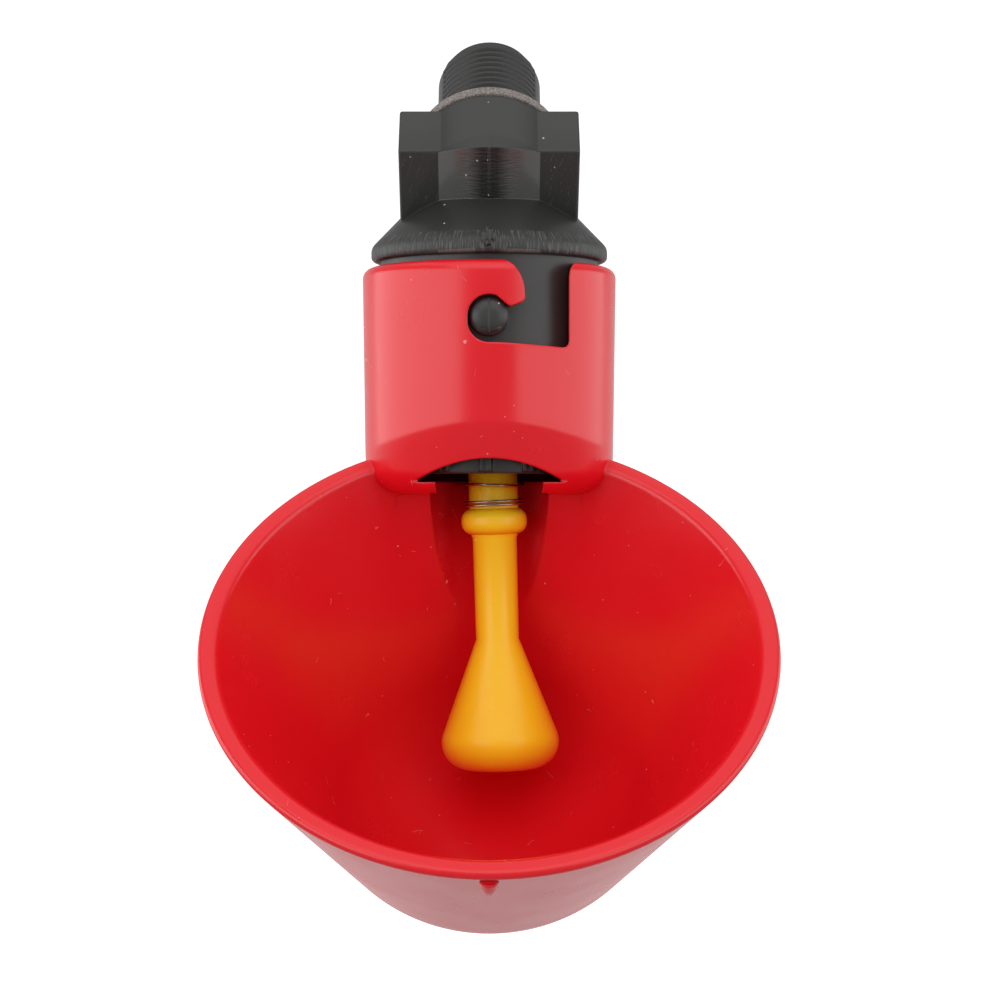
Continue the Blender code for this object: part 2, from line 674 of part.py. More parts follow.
def cut_bore(cup, cutters):
    radius = NECK_RADIUS + RUNNING_GAP
    bore = lathe("collar_bore", rod_profile(radius, OVERRUN, -bore_depth()), cutters,
                 between(socket_frame(), BIG_ROUND), BIG_ROUND)
    boolean(cup, bore, "DIFFERENCE")
    section = rod_profile(RECESS_RADIUS, OVERRUN - bore_depth(), RECESS_WALL - recess_end_down())
    recess = lathe("recess", section, cutters, between(recess_frame(), MID_ROUND))
    boolean(cup, recess, "DIFFERENCE")


def slot_outline():
    """One bayonet slot about the pin's centre, x across and z up the collar."""
    pocket = PIN_RADIUS + POCKET_GAP
    top = PIN_DOWN + OVERRUN
    floor = -SLOT_FLOOR_BELOW_PIN
    points = [(CHANNEL_RIGHT, top), (CHANNEL_RIGHT, floor - SLOT_FLOOR_FALL + CHANNEL_CORNER)]
    corner = (CHANNEL_RIGHT - CHANNEL_CORNER, floor - SLOT_FLOOR_FALL + CHANNEL_CORNER)
    points += arc(corner, CHANNEL_CORNER, -20.0, -90.0, 3)
    points += [(pocket * 0.5, floor)]
    points += arc((0.0, floor + pocket), pocket, -95.0, -180.0, 5)
    points += arc((0.0, 0.0), pocket, -180.0, -290.0, 8)
    points += [(HOOK_TIP_ACROSS - 0.7 * MM, HOOK_TIP_ABOVE + 0.35 * MM), (HOOK_TIP_ACROSS, HOOK_TIP_ABOVE)]
    points += [(CHANNEL_LEFT - 0.4 * MM, HOOK_SIDE_ABOVE - 0.5 * MM), (CHANNEL_LEFT, HOOK_SIDE_ABOVE)]
    centre = (CHANNEL_LEFT - HOOK_ROUND_WIDTH, PIN_DOWN - TOUCH_GAP - HOOK_ROUND_HEIGHT)
    for across, up in arc((0.0, 0.0), 1.0, 0.0, 80.0, 5):
        points.append((centre[0] + HOOK_ROUND_WIDTH * across, centre[1] + HOOK_ROUND_HEIGHT * up))
    points += [(centre[0], top)]
    return points


def cut_slots(cup, cutters):
    outline = slot_outline()
    near = -COLLAR_RADIUS - OVERRUN
    far = -COLLAR_RADIUS / 2
    for name, turn in (("front_slot", 0.0), ("back_slot", math.pi)):
        spin = Matrix.Rotation(turn, 4, "Z") @ Matrix.Translation((0.0, 0.0, -PIN_DOWN))
        boolean(cup, prism(name, outline, near, far, cutters, socket_frame() @ spin), "DIFFERENCE")


def add_nub(cup, cutters):
    """Small moulded nub under the rim at the front of the bowl."""
    slope = (MOUTH_RADIUS - BOWL_FOOT_RADIUS) / BOWL_DEPTH
    front = -MOUTH_RADIUS - NUB_STAND_OUT + slope * NUB_DOWN
    low = (-NUB_HALF_WIDTH, front, -NUB_DOWN - NUB_HEIGHT)
    high = (NUB_HALF_WIDTH, -MOUTH_RADIUS + NUB_DOWN, -NUB_DOWN)
    boolean(cup, box("front_nub", low, high, cutters, bowl_frame()), "UNION")


def make_cup(parts, cutters, plastic):
    cup = bowl_blank(parts)
    add_nub(cup, cutters)
    add_recess_wall(cup, cutters)
    cut_bowl(cup, cutters)
    add_collar(cup, cutters)
    cut_lip(cup, cutters)
    cut_bore(cup, cutters)
    cut_slots(cup, cutters)
    return finish(cup, plastic)


def main():
    clear_scene()
    parts = make_collection("poultry_drinking_cup")
    cutters = make_collection("cutters")
    black = make_material("moulded_black_plastic", (0.035, 0.035, 0.034), 0.35)
    red = make_material("moulded_red_plastic", (0.70, 0.012, 0.016), 0.25)
    yellow = make_material("moulded_yellow_plastic", (0.92, 0.46, 0.02), 0.3)
    fibre = make_material("gasket_rubber", (0.26, 0.23, 0.21), 0.8)
    rubber = make_material("seat_rubber", (0.03, 0.03, 0.03), 0.7)
    steel = make_material("spring_steel", (0.62, 0.58, 0.50), 0.25, 1.0)
    make_valve_body(parts, cutters, black)
    make_gasket(parts, fibre)
    make_nut(parts, cutters, black)
    make_seat_washer(parts, rubber)
    make_valve_head(parts, rubber)
    make_trigger(parts, yellow)
    make_spring(parts, steel)
    make_cup(parts, cutters, red)


main()
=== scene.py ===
# Poultry drinking cup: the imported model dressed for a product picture.
# Shapes are built in millimetres and turned to metres when a piece is finished.
import math

import bmesh
import bpy
from mathutils import Matrix, Vector, noise


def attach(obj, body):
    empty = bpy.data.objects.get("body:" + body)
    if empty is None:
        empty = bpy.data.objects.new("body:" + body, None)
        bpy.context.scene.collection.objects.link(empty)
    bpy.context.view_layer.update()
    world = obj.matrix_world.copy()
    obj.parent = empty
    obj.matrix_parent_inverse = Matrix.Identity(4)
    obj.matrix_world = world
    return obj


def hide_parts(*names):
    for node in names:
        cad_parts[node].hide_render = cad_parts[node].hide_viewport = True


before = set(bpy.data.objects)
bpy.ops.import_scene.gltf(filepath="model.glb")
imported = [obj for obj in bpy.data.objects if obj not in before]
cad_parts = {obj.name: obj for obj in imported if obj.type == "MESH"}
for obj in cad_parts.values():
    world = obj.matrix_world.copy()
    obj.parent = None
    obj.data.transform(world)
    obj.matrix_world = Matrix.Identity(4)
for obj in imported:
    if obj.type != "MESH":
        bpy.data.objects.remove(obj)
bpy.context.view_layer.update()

scene = bpy.context.scene

# Where the pieces meet: the socket's axis leans 45 degrees, and the trigger rocks about its valve head.
layout = {"socketForward": 12.4, "socketDrop": 14.5, "mouthForward": 75.5, "mouthDrop": 32.3,
          "pivotDown": 22.79, "triggerShift": 0.3, "triggerLean": 1.6}
toMetres = Matrix.Scale(0.001, 4)
pipeFrame = Matrix.Rotation(-math.pi / 2, 4, "X")
socketFrame = Matrix.Translation((0, -layout["socketForward"], -layout["socketDrop"]))
socketFrame = socketFrame @ Matrix.Rotation(-math.pi / 4, 4, "X")
bowlFrame = Matrix.Translation((0, -layout["mouthForward"], -layout["mouthDrop"]))
leanFrame = socketFrame @ Matrix.Translation((layout["triggerShift"], 0, -layout["pivotDown"]))
leanFrame = leanFrame @ Matrix.Rotation(math.radians(-layout["triggerLean"]), 4, "Y")

# Numbers that stay bare in the shapes below are angles, step counts, or how far a tool reaches past
# the face that it cuts or joins.
mergeGap = 0.0005
beyond = 40  # past every piece
pipeSteps = 128
socketSteps = 160
cupSteps = 192


# Points on an arc, with angles in degrees; tall gives a second radius.
def arc(centre, radius, start, end, steps, tall=None):
    across, up = centre
    points = []
    for step in range(steps + 1):
        angle = math.radians(start + (end - start) * step / steps)
        points.append((across + radius * math.cos(angle), up + (tall or radius) * math.sin(angle)))
    return points


# Turns (radius, height) points about Z.
def spinProfile(points, steps=96, closed=False):
    shape = bmesh.new()
    verts = [shape.verts.new((radius, 0, height)) for radius, height in points]
    edges = [shape.edges.new(pair) for pair in zip(verts, verts[1:])]
    if closed:
        edges.append(shape.edges.new((verts[-1], verts[0])))
    bmesh.ops.spin(shape, geom=verts + edges, cent=(0, 0, 0), axis=(0, 0, 1), dvec=(0, 0, 0),
                   angle=2 * math.pi, steps=steps, use_merge=True)
    bmesh.ops.remove_doubles(shape, verts=shape.verts, dist=mergeGap)
    bmesh.ops.recalc_face_normals(shape, faces=shape.faces)
    return shape


def boxShape(low, high, edge=0, segments=3):
    shape = bmesh.new()
    bmesh.ops.create_cube(shape, size=1)
    size = [b - a for a, b in zip(low, high)]
    middle = [(a + b) / 2 for a, b in zip(low, high)]
    bmesh.ops.scale(shape, vec=size, verts=shape.verts)
    bmesh.ops.translate(shape, vec=middle, verts=shape.verts)
    if edge:
        bmesh.ops.bevel(shape, geom=shape.edges[:], offset=edge, offset_type="OFFSET", affect="EDGES",
                        segments=segments, profile=0.5, material=-1)
    return shape


# Extrudes an outline of (x, z) points along y.
def prismShape(outline, near, far):
    shape = bmesh.new()
    face = shape.faces.new([shape.verts.new((x, near, z)) for x, z in outline])
    grown = bmesh.ops.extrude_face_region(shape, geom=[face])
    moved = [item for item in grown["geom"] if isinstance(item, bmesh.types.BMVert)]
    bmesh.ops.translate(shape, vec=(0, far - near, 0), verts=moved)
    bmesh.ops.recalc_face_normals(shape, faces=shape.faces)
    return shape


def toObject(name, shape, place=Matrix.Identity(4)):
    mesh = bpy.data.meshes.new(name)
    bmesh.ops.transform(shape, matrix=place, verts=shape.verts)
    shape.to_mesh(mesh)
    shape.free()
    item = bpy.data.objects.new(name, mesh)
    scene.collection.objects.link(item)
    return item


# Joins, cuts or keeps the overlap of an item and another object, and drops the other.
def combineObject(item, tool, operation):
    change = item.modifiers.new(operation, "BOOLEAN")
    change.operation = operation
    change.solver = "EXACT"
    change.object = tool
    mesh = bpy.data.meshes.new_from_object(item.evaluated_get(bpy.context.evaluated_depsgraph_get()))
    item.modifiers.clear()
    item.data = mesh
    bpy.data.objects.remove(tool)
    return item


def combine(item, shape, operation, place=Matrix.Identity(4)):
    return combineObject(item, toObject("tool", shape, place), operation)


# Turns a frame by half a facet, so that two round shapes on one axis share no edge.
def halfStep(place, steps):
    return place @ Matrix.Rotation(math.pi / steps, 4, "Z")


# Gives a shape its material, shading and body, and hides the solids that it stands for.
def finishPiece(item, body, material, nodes=(), sharp=32):
    mesh = item.data
    mesh.transform(toMetres)
    mesh.materials.clear()
    mesh.materials.append(material)
    mesh.shade_smooth()
    mesh.set_sharp_from_angle(angle=math.radians(sharp))
    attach(item, body)
    if nodes:
        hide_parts(*nodes)
    return item


def hexColour(text):
    channels = [int(text[i:i + 2], 16) / 255 for i in (1, 3, 5)]
    linear = [c / 12.92 if c <= 0.04045 else ((c + 0.055) / 1.055) ** 2.4 for c in channels]
    return (*linear, 1)


# Adds a node; inputs take numbers, colours or other nodes' outputs, and settings are its properties.
def addNode(tree, kind, inputs, output=0, **settings):
    node = tree.nodes.new("ShaderNode" + kind)
    for key, value in settings.items():
        setattr(node, key, value)
    for key, value in inputs.items():
        if isinstance(value, bpy.types.NodeSocket):
            tree.links.new(value, node.inputs[key])
        else:
            node.inputs[key].default_value = value
    return node.outputs[output]


def newMaterial(name, colour, roughness, **sockets):
    material = bpy.data.materials.new(name)
    material.use_nodes = True
    shader = material.node_tree.nodes["Principled BSDF"]
    shader.inputs["Base Color"].default_value = hexColour(colour)
    shader.inputs["Roughness"].default_value = roughness
    for key, value in sockets.items():
        shader.inputs[key.replace("_", " ")].default_value = value
    return material, material.node_tree, shader


# Grain in millimetre cells, stretched along any axis by a longer cell.
def grainPattern(tree, place, cell, detail=2.0):
    scale = [1000 / size for size in cell]
    scaled = addNode(tree, "VectorMath", {0: place, 1: scale}, operation="MULTIPLY")
    return addNode(tree, "TexNoise", {"Vector": scaled, "Scale": 1.0, "Detail": detail})


# Bends a place by noise of one cell size, so that the cells that follow lose their straight borders.
def bentPlace(tree, place, cell, reach):
    warp = addNode(tree, "TexNoise", {"Vector": place, "Scale": 1000 / cell, "Detail": 1.0}, "Color")
    return addNode(tree, "VectorMath", {0: warp, 1: (reach,) * 3, 2: place}, operation="MULTIPLY_ADD")


# Crumbs of dust: a share of the cells of a bent cell pattern holds a speck of random size.
def dustMask(tree, place, cell, size, share):
    bent = bentPlace(tree, place, 0.35, 0.00022)
    cells = addNode(tree, "TexVoronoi", {"Vector": bent, "Scale": 1000 / cell}).node
    chance = addNode(tree, "SeparateColor", {0: cells.outputs["Color"]}).node
    few = addNode(tree, "Math", {0: chance.outputs[0], 1: 1 - share}, operation="GREATER_THAN")
    reach = addNode(tree, "Math", {0: chance.outputs[1], 1: size / cell}, operation="MULTIPLY")
    near = addNode(tree, "Math", {0: cells.outputs["Distance"], 1: reach}, operation="LESS_THAN")
    return addNode(tree, "Math", {0: few, 1: near}, operation="MULTIPLY")


# Hairs and scratches: short stretches of the borders of a bent cell pattern.
def hairMask(tree, place, cell, width, share):
    bent = bentPlace(tree, place, 3.0, 0.003)
    lines = addNode(tree, "TexVoronoi", {"Vector": bent, "Scale": 1000 / cell}, feature="DISTANCE_TO_EDGE")
    near = addNode(tree, "Math", {0: lines, 1: width / cell}, operation="LESS_THAN")
    patch = addNode(tree, "TexNoise", {"Vector": place, "Scale": 1000 / (cell * 0.4), "Detail": 1.0})
    patch = addNode(tree, "Math", {0: patch, 1: 1 - share}, operation="GREATER_THAN")
    return addNode(tree, "Math", {0: near, 1: patch}, operation="MULTIPLY")


# Glossy injection-moulded polypropylene: saturated red, with faint orange peel that softens the
# edges of reflections, and the pale dust and hairs that cling to new plastic.
# Dust and hairs are (cell mm, size mm, share of cells); the recess bounds are metres in the frame.
redLook = {
    "colour": "#DF1220", "dust": "#F0B0AA", "polished": 0.18, "smeared": 0.32, "smearCell": 9,
    "coarseDust": (3.2, 0.27, 0.12), "fineDust": (1.3, 0.14, 0.11), "hairs": (8.3, 0.032, 0.3),
    "hairStrength": 0.4, "markStrength": 0.5, "markRoughness": 0.7, "peelCell": 3.0, "peel": 0.025,
    "edge": 0.00045, "recessEdge": 0.0015, "recessSide": 0.0125, "recessTop": -0.042, "recessFront": -0.07,
}


def makeRed():
    look = redLook
    material, tree, shader = newMaterial("mouldedRedPlastic", look["colour"], look["polished"])
    place = addNode(tree, "TexCoord", {}, "Object")
    coarse = dustMask(tree, place, *look["coarseDust"])
    fine = dustMask(tree, place, *look["fineDust"])
    hairs = hairMask(tree, place, *look["hairs"])
    dust = addNode(tree, "Math", {0: coarse, 1: fine}, operation="MAXIMUM")
    hairs = addNode(tree, "Math", {0: hairs, 1: look["hairStrength"]}, operation="MULTIPLY")
    marks = addNode(tree, "Math", {0: dust, 1: hairs}, operation="MAXIMUM")
    share = addNode(tree, "Math", {0: marks, 1: look["markStrength"]}, operation="MULTIPLY")
    colours = {0: share, 6: hexColour(look["colour"]), 7: hexColour(look["dust"])}
    tree.links.new(addNode(tree, "Mix", colours, 2, data_type="RGBA"), shader.inputs["Base Color"])

    grain = grainPattern(tree, place, (look["smearCell"],) * 3, 3.0)
    smear = addNode(tree, "MapRange", {0: grain, 3: look["polished"], 4: look["smeared"]})
    rough = addNode(tree, "Math", {0: marks, 1: look["markRoughness"]}, operation="MULTIPLY")
    rough = addNode(tree, "Math", {0: smear, 1: rough}, operation="MAXIMUM")
    tree.links.new(rough, shader.inputs["Roughness"])

    # The edges of the recess behind the trigger melt into the bowl, so they are rounded more.
    spot = addNode(tree, "SeparateXYZ", {0: place}).node
    across = addNode(tree, "Math", {0: spot.outputs[0]}, operation="ABSOLUTE")
    inside = addNode(tree, "Math", {0: across, 1: look["recessSide"]}, operation="LESS_THAN")
    below = addNode(tree, "Math", {0: spot.outputs[2], 1: look["recessTop"]}, operation="LESS_THAN")
    behind = addNode(tree, "Math", {0: spot.outputs[1], 1: look["recessFront"]}, operation="GREATER_THAN")
    recess = addNode(tree, "Math", {0: inside, 1: below}, operation="MULTIPLY")
    recess = addNode(tree, "Math", {0: recess, 1: behind}, operation="MULTIPLY")
    edge = addNode(tree, "MapRange", {0: recess, 3: look["edge"], 4: look["recessEdge"]})
    rounded = addNode(tree, "Bevel", {"Radius": edge}, samples=8)
    peel = grainPattern(tree, place, (look["peelCell"],) * 3)
    relief = {"Strength": look["peel"], "Distance": 0.0005, "Height": peel, "Normal": rounded}
    tree.links.new(addNode(tree, "Bump", relief), shader.inputs["Normal"])
    return material


# Glass-filled black plastic as moulded: a satin skin, a glossy column with flow ripples whose two sides carry
# a painted grey reflection of the white studio, scuffed front faces and a rim scratched across by handling.
# The bounds are metres in the frame; strokes and scratches are millimetre cells, long along the mark.
blackLook = {
    "colour": "#2D2D2C", "paintedSheen": "#575755", "scuff": "#7C7A77", "dust": "#C9C6C0", "roughness": 0.4,
    "edge": 0.0003, "facing": -0.85, "frontLow": -0.0165, "frontBack": -0.0122, "columnSide": 0.0078,
    "rimReach": 0.0174, "rimLow": 0.0009, "rimHigh": 0.0042, "rimRadius": 0.0187,
    "strokeCell": (0.16, 2.6, 1.0), "slantCell": (0.11, 1.0, 3.6), "plainCell": (0.14, 1.0, 0.9),
    "hairs": (6.0, 0.035, 0.28), "dustCell": (1.7, 0.22, 0.16), "rippleCell": (1.7, 1.7, 0.36),
    "skinCell": (0.35, 0.35, 0.35), "strokes": 0.36, "scratches": 0.42, "hairStrength": 0.25,
    "strokeLimit": 0.57, "slant": -0.3, "slantLimit": 0.7, "plainLimit": 0.69, "dustStrength": 0.8,
    "paintedSheenStart": 0.0012, "paintedSheenFull": 0.0032, "rippleFull": 0.0025, "rippleEnd": 0.0055, "ripples": 1.8,
    "skin": 0.06, "markRelief": 0.3, "scuffDull": 0.25, "columnGloss": -0.22, "rimDull": 0.12,
}


def makeBlack():
    look = blackLook
    material, tree, shader = newMaterial("mouldedBlackPlastic", look["colour"], look["roughness"])
    place = addNode(tree, "TexCoord", {}, "Object")
    spot = addNode(tree, "SeparateXYZ", {0: place}).node
    facing = addNode(tree, "NewGeometry", {}, "Normal")
    facing = addNode(tree, "SeparateXYZ", {0: facing}).node
    across = addNode(tree, "Math", {0: spot.outputs[0]}, operation="ABSOLUTE")

    # The wrench block's front faces, with the glossy column between the two scuffed ones.
    ahead = addNode(tree, "Math", {0: facing.outputs[1], 1: look["facing"]}, operation="LESS_THAN")
    upper = addNode(tree, "Math", {0: spot.outputs[2], 1: look["frontLow"]}, operation="GREATER_THAN")
    near = addNode(tree, "Math", {0: spot.outputs[1], 1: look["frontBack"]}, operation="LESS_THAN")
    front = addNode(tree, "Math", {0: ahead, 1: upper}, operation="MULTIPLY")
    front = addNode(tree, "Math", {0: front, 1: near}, operation="MULTIPLY")
    outer = addNode(tree, "Math", {0: across, 1: look["columnSide"]}, operation="GREATER_THAN")
    inner = addNode(tree, "Math", {0: across, 1: look["columnSide"]}, operation="LESS_THAN")
    scuffed = addNode(tree, "Math", {0: front, 1: outer}, operation="MULTIPLY")
    column = addNode(tree, "Math", {0: front, 1: inner}, operation="MULTIPLY")

    # The saucer's rim, in the socket's own frame, with strokes laid round it.
    tilt = {"Vector": place, "Rotation": (-math.pi / 4, 0, 0),
            "Location": (0, -layout["socketForward"] / 1000, -layout["socketDrop"] / 1000)}
    socket = addNode(tree, "Mapping", tilt, vector_type="TEXTURE")
    local = addNode(tree, "SeparateXYZ", {0: socket}).node
    turn = addNode(tree, "Math", {0: local.outputs[0], 1: local.outputs[1]}, operation="ARCTAN2")
    around = addNode(tree, "Math", {0: turn, 1: look["rimRadius"]}, operation="MULTIPLY")
    flat = addNode(tree, "CombineXYZ", {0: local.outputs[0], 1: local.outputs[1]})
    reach = addNode(tree, "VectorMath", {0: flat}, "Value", operation="LENGTH")
    wide = addNode(tree, "Math", {0: reach, 1: look["rimReach"]}, operation="GREATER_THAN")
    above = addNode(tree, "Math", {0: local.outputs[2], 1: look["rimLow"]}, operation="GREATER_THAN")
    under = addNode(tree, "Math", {0: local.outputs[2], 1: look["rimHigh"]}, operation="LESS_THAN")
    rim = addNode(tree, "Math", {0: wide, 1: above}, operation="MULTIPLY")
    rim = addNode(tree, "Math", {0: rim, 1: under}, operation="MULTIPLY")
    rimPlace = addNode(tree, "CombineXYZ", {0: around, 1: local.outputs[2]})
    strokes = grainPattern(tree, rimPlace, look["strokeCell"], 3.0)
    strokes = addNode(tree, "Math", {0: strokes, 1: look["strokeLimit"]}, operation="GREATER_THAN")
    strokes = addNode(tree, "Math", {0: rim, 1: strokes}, operation="MULTIPLY")

    slanted = addNode(tree, "Mapping", {"Vector": place, "Rotation": (0, look["slant"], 0)})
    slanted = grainPattern(tree, slanted, look["slantCell"])
    slanted = addNode(tree, "Math", {0: slanted, 1: look["slantLimit"]}, operation="GREATER_THAN")
    plain = grainPattern(tree, place, look["plainCell"], 3.0)
    plain = addNode(tree, "Math", {0: plain, 1: look["plainLimit"]}, operation="GREATER_THAN")
    scratches = addNode(tree, "Math", {0: slanted, 1: plain}, operation="MAXIMUM")
    scratches = addNode(tree, "Math", {0: scuffed, 1: scratches}, operation="MULTIPLY")
    hairs = hairMask(tree, place, *look["hairs"])
    strokes = addNode(tree, "Math", {0: strokes, 1: look["strokes"]}, operation="MULTIPLY")
    scratches = addNode(tree, "Math", {0: scratches, 1: look["scratches"]}, operation="MULTIPLY")
    hairs = addNode(tree, "Math", {0: hairs, 1: look["hairStrength"]}, operation="MULTIPLY")
    marks = addNode(tree, "Math", {0: strokes, 1: scratches}, operation="ADD")
    marks = addNode(tree, "Math", {0: marks, 1: hairs}, operation="ADD")

    dust = dustMask(tree, place, *look["dustCell"])
    dust = addNode(tree, "Math", {0: dust, 1: look["dustStrength"]}, operation="MULTIPLY")
    # Painted reflection: the column's colour is lightened towards its two sides, to stand for the white
    # studio mirrored there.
    paintedSheenShare = addNode(tree, "MapRange", {0: across, 1: look["paintedSheenStart"], 2: look["paintedSheenFull"]})
    paintedSheenShare = addNode(tree, "Math", {0: paintedSheenShare, 1: column}, operation="MULTIPLY")
    colours = {0: paintedSheenShare, 6: hexColour(look["colour"]), 7: hexColour(look["paintedSheen"])}
    colour = addNode(tree, "Mix", colours, 2, data_type="RGBA")
    colour = addNode(tree, "Mix", {0: marks, 6: colour, 7: hexColour(look["scuff"])}, 2, data_type="RGBA")
    colour = addNode(tree, "Mix", {0: dust, 6: colour, 7: hexColour(look["dust"])}, 2, data_type="RGBA")
    tree.links.new(colour, shader.inputs["Base Color"])

    # Scuffs and the rim are duller than the skin, and the column is glossier.
    dull = addNode(tree, "Math", {0: scuffed, 1: look["scuffDull"]}, operation="MULTIPLY")
    gloss = addNode(tree, "Math", {0: column, 1: look["columnGloss"]}, operation="MULTIPLY")
    worn = addNode(tree, "Math", {0: rim, 1: look["rimDull"]}, operation="MULTIPLY")
    rough = addNode(tree, "Math", {0: dull, 1: gloss}, operation="ADD")
    rough = addNode(tree, "Math", {0: rough, 1: worn}, operation="ADD")
    rough = addNode(tree, "Math", {0: rough, 1: look["roughness"]}, operation="ADD")
    tree.links.new(rough, shader.inputs["Roughness"])

    ripples = grainPattern(tree, place, look["rippleCell"])
    ripples = addNode(tree, "Math", {0: ripples, 1: 0.5}, operation="SUBTRACT")
    fade = {0: across, 1: look["rippleFull"], 2: look["rippleEnd"], 3: 1.0, 4: 0.0}
    middle = addNode(tree, "MapRange", fade)
    ripples = addNode(tree, "Math", {0: ripples, 1: column}, operation="MULTIPLY")
    ripples = addNode(tree, "Math", {0: ripples, 1: middle}, operation="MULTIPLY")
    ripples = addNode(tree, "Math", {0: ripples, 1: look["ripples"]}, operation="MULTIPLY")
    skin = grainPattern(tree, place, look["skinCell"], 3.0)
    skin = addNode(tree, "Math", {0: skin, 1: look["skin"]}, operation="MULTIPLY")
    raised = addNode(tree, "Math", {0: marks, 1: look["markRelief"]}, operation="MULTIPLY")
    height = addNode(tree, "Math", {0: ripples, 1: skin}, operation="ADD")
    height = addNode(tree, "Math", {0: height, 1: raised}, operation="ADD")
    rounded = addNode(tree, "Bevel", {"Radius": look["edge"]}, samples=6)
    relief = {"Strength": 0.5, "Distance": 0.0003, "Height": height, "Normal": rounded}
    tree.links.new(addNode(tree, "Bump", relief), shader.inputs["Normal"])
    return material


# Translucent moulded yellow acetal, with a few pale crumbs on the skin. The rod and the bell are framed in a
# painted orange shade where the surface turns away from the eye, standing in for light that comes out orange
# at the edges; the edge colour is that shade.
yellowLook = {"colour": "#FFCF1E", "edge": "#F08408", "dust": "#FFF2C8", "roughness": 0.32,
              "paintedShadeStart": 0.2, "paintedShadeFull": 0.9, "paintedShadeStrength": 0.9, "dustCell": (2.0, 0.22, 0.12),
              "scatter": (1.0, 0.45, 0.1), "grainCell": (2, 2, 4)}


def makeYellow():
    look = yellowLook
    material, tree, shader = newMaterial("mouldedYellowPlastic", look["colour"], look["roughness"],
                                         Subsurface_Weight=0.2, Subsurface_Scale=0.0015,
                                         Subsurface_Radius=look["scatter"], Specular_IOR_Level=0.35)
    place = addNode(tree, "TexCoord", {}, "Object")
    # Painted shade: the colour turns orange where the surface turns away from the eye.
    paintedEdgeShade = addNode(tree, "LayerWeight", {"Blend": 0.35}, "Facing")
    steps = {0: paintedEdgeShade, 1: look["paintedShadeStart"], 2: look["paintedShadeFull"], 3: 0.0, 4: look["paintedShadeStrength"]}
    paintedEdgeShade = addNode(tree, "MapRange", steps, interpolation_type="SMOOTHSTEP")
    colours = {0: paintedEdgeShade, 6: hexColour(look["colour"]), 7: hexColour(look["edge"])}
    colour = addNode(tree, "Mix", colours, 2, data_type="RGBA")
    dust = dustMask(tree, place, *look["dustCell"])
    dust = addNode(tree, "Math", {0: dust, 1: 0.7}, operation="MULTIPLY")
    colour = addNode(tree, "Mix", {0: dust, 6: colour, 7: hexColour(look["dust"])}, 2, data_type="RGBA")
    tree.links.new(colour, shader.inputs["Base Color"])
    grain = grainPattern(tree, place, look["grainCell"])
    relief = addNode(tree, "Bump", {"Strength": 0.05, "Distance": 0.0003, "Height": grain})
    tree.links.new(relief, shader.inputs["Normal"])
    return material


# A plain material with one fine noise for both its colour and its relief.
def makeGrainy(name, dark, light, roughness, cell, depth, **sockets):
    material, tree, shader = newMaterial(name, dark, roughness, **sockets)
    grain = grainPattern(tree, addNode(tree, "TexCoord", {}, "Object"), (cell,) * 3, 4.0)
    share = addNode(tree, "MapRange", {0: grain, 1: 0.4, 2: 0.62})
    colour = addNode(tree, "Mix", {0: share, 6: hexColour(dark), 7: hexColour(light)}, 2, data_type="RGBA")
    tree.links.new(colour, shader.inputs["Base Color"])
    relief = addNode(tree, "Bump", {"Strength": depth, "Distance": 0.0003, "Height": grain})
    tree.links.new(relief, shader.inputs["Normal"])
    return material


redPlastic = makeRed()
blackPlastic = makeBlack()
yellowPlastic = makeYellow()
# Pressed fibre-rubber sheet: mealy and matt, so the gasket reads as a soft brown-grey band.
gasketRubber = makeGrainy("gasketRubberSheet", "#625A55", "#98908B", 0.85, 0.22, 0.3)
# Moulded rubber with a dull skin, hidden inside the neck.
seatRubber = makeGrainy("mouldedSeatRubber", "#242424", "#333333", 0.7, 0.3, 0.3)
# Drawn stainless wire: a mirror-like skin with faint draw marks, which glints along each coil.
springSteel = makeGrainy("drawnSpringSteel", "#A89A86", "#C9BDA8", 0.2, 0.2, 0.06, Metallic=1.0)
print("materials made")


# The valve body: saucer and neck on the socket's axis, block, column and spigot on the pipe's.
valve = {
    "saucerRadius": 18.7, "saucerTopRadius": 12.2, "rimHeight": 2.9, "rimUnder": 0.7, "rimRound": 0.8,
    "edgeRound": 1.8, "slope": 46, "neckRadius": 17.2, "neckLength": 28.4, "neckRound": 0.8,
    "seatPlane": 2.0, "cutLow": 17.4, "blockLength": 10.3, "blockWidth": 13.9, "blockHeight": 8.5,
    "blockEdge": 0.4, "bossRadius": 11.3, "bossInset": 0.15, "columnWidth": 7.8, "columnBulge": 2.0,
    "columnDraft": 0.5, "drumReach": 14, "drumSlip": 0.02, "ribWidth": 0.2, "ribProud": 0.14, "ribEdge": 0.08,
    "ribLow": 16, "ribHigh": 10.8, "threadRadius": 8.2, "threadDepth": 0.62, "threadLength": 19.3,
    "leadIn": 4.0, "tipRadius": 6.6, "noseWide": 0.95, "noseLong": 1.9, "landHeight": 3.6, "threadRoot": 1.7,
    "inletRadius": 4.2, "inletDepth": 11.5, "chamberRadius": 10, "chamberTop": 1, "nutWell": 13.3,
    "nutWellTop": 23.8, "pinRadius": 2.95, "pinDown": 9.0, "pinReach": 20.0, "domeWide": 2.2,
    "domeHigh": 1.25, "seamWidth": 0.09, "seamProud": 0.06, "seamReach": 2.6,
}


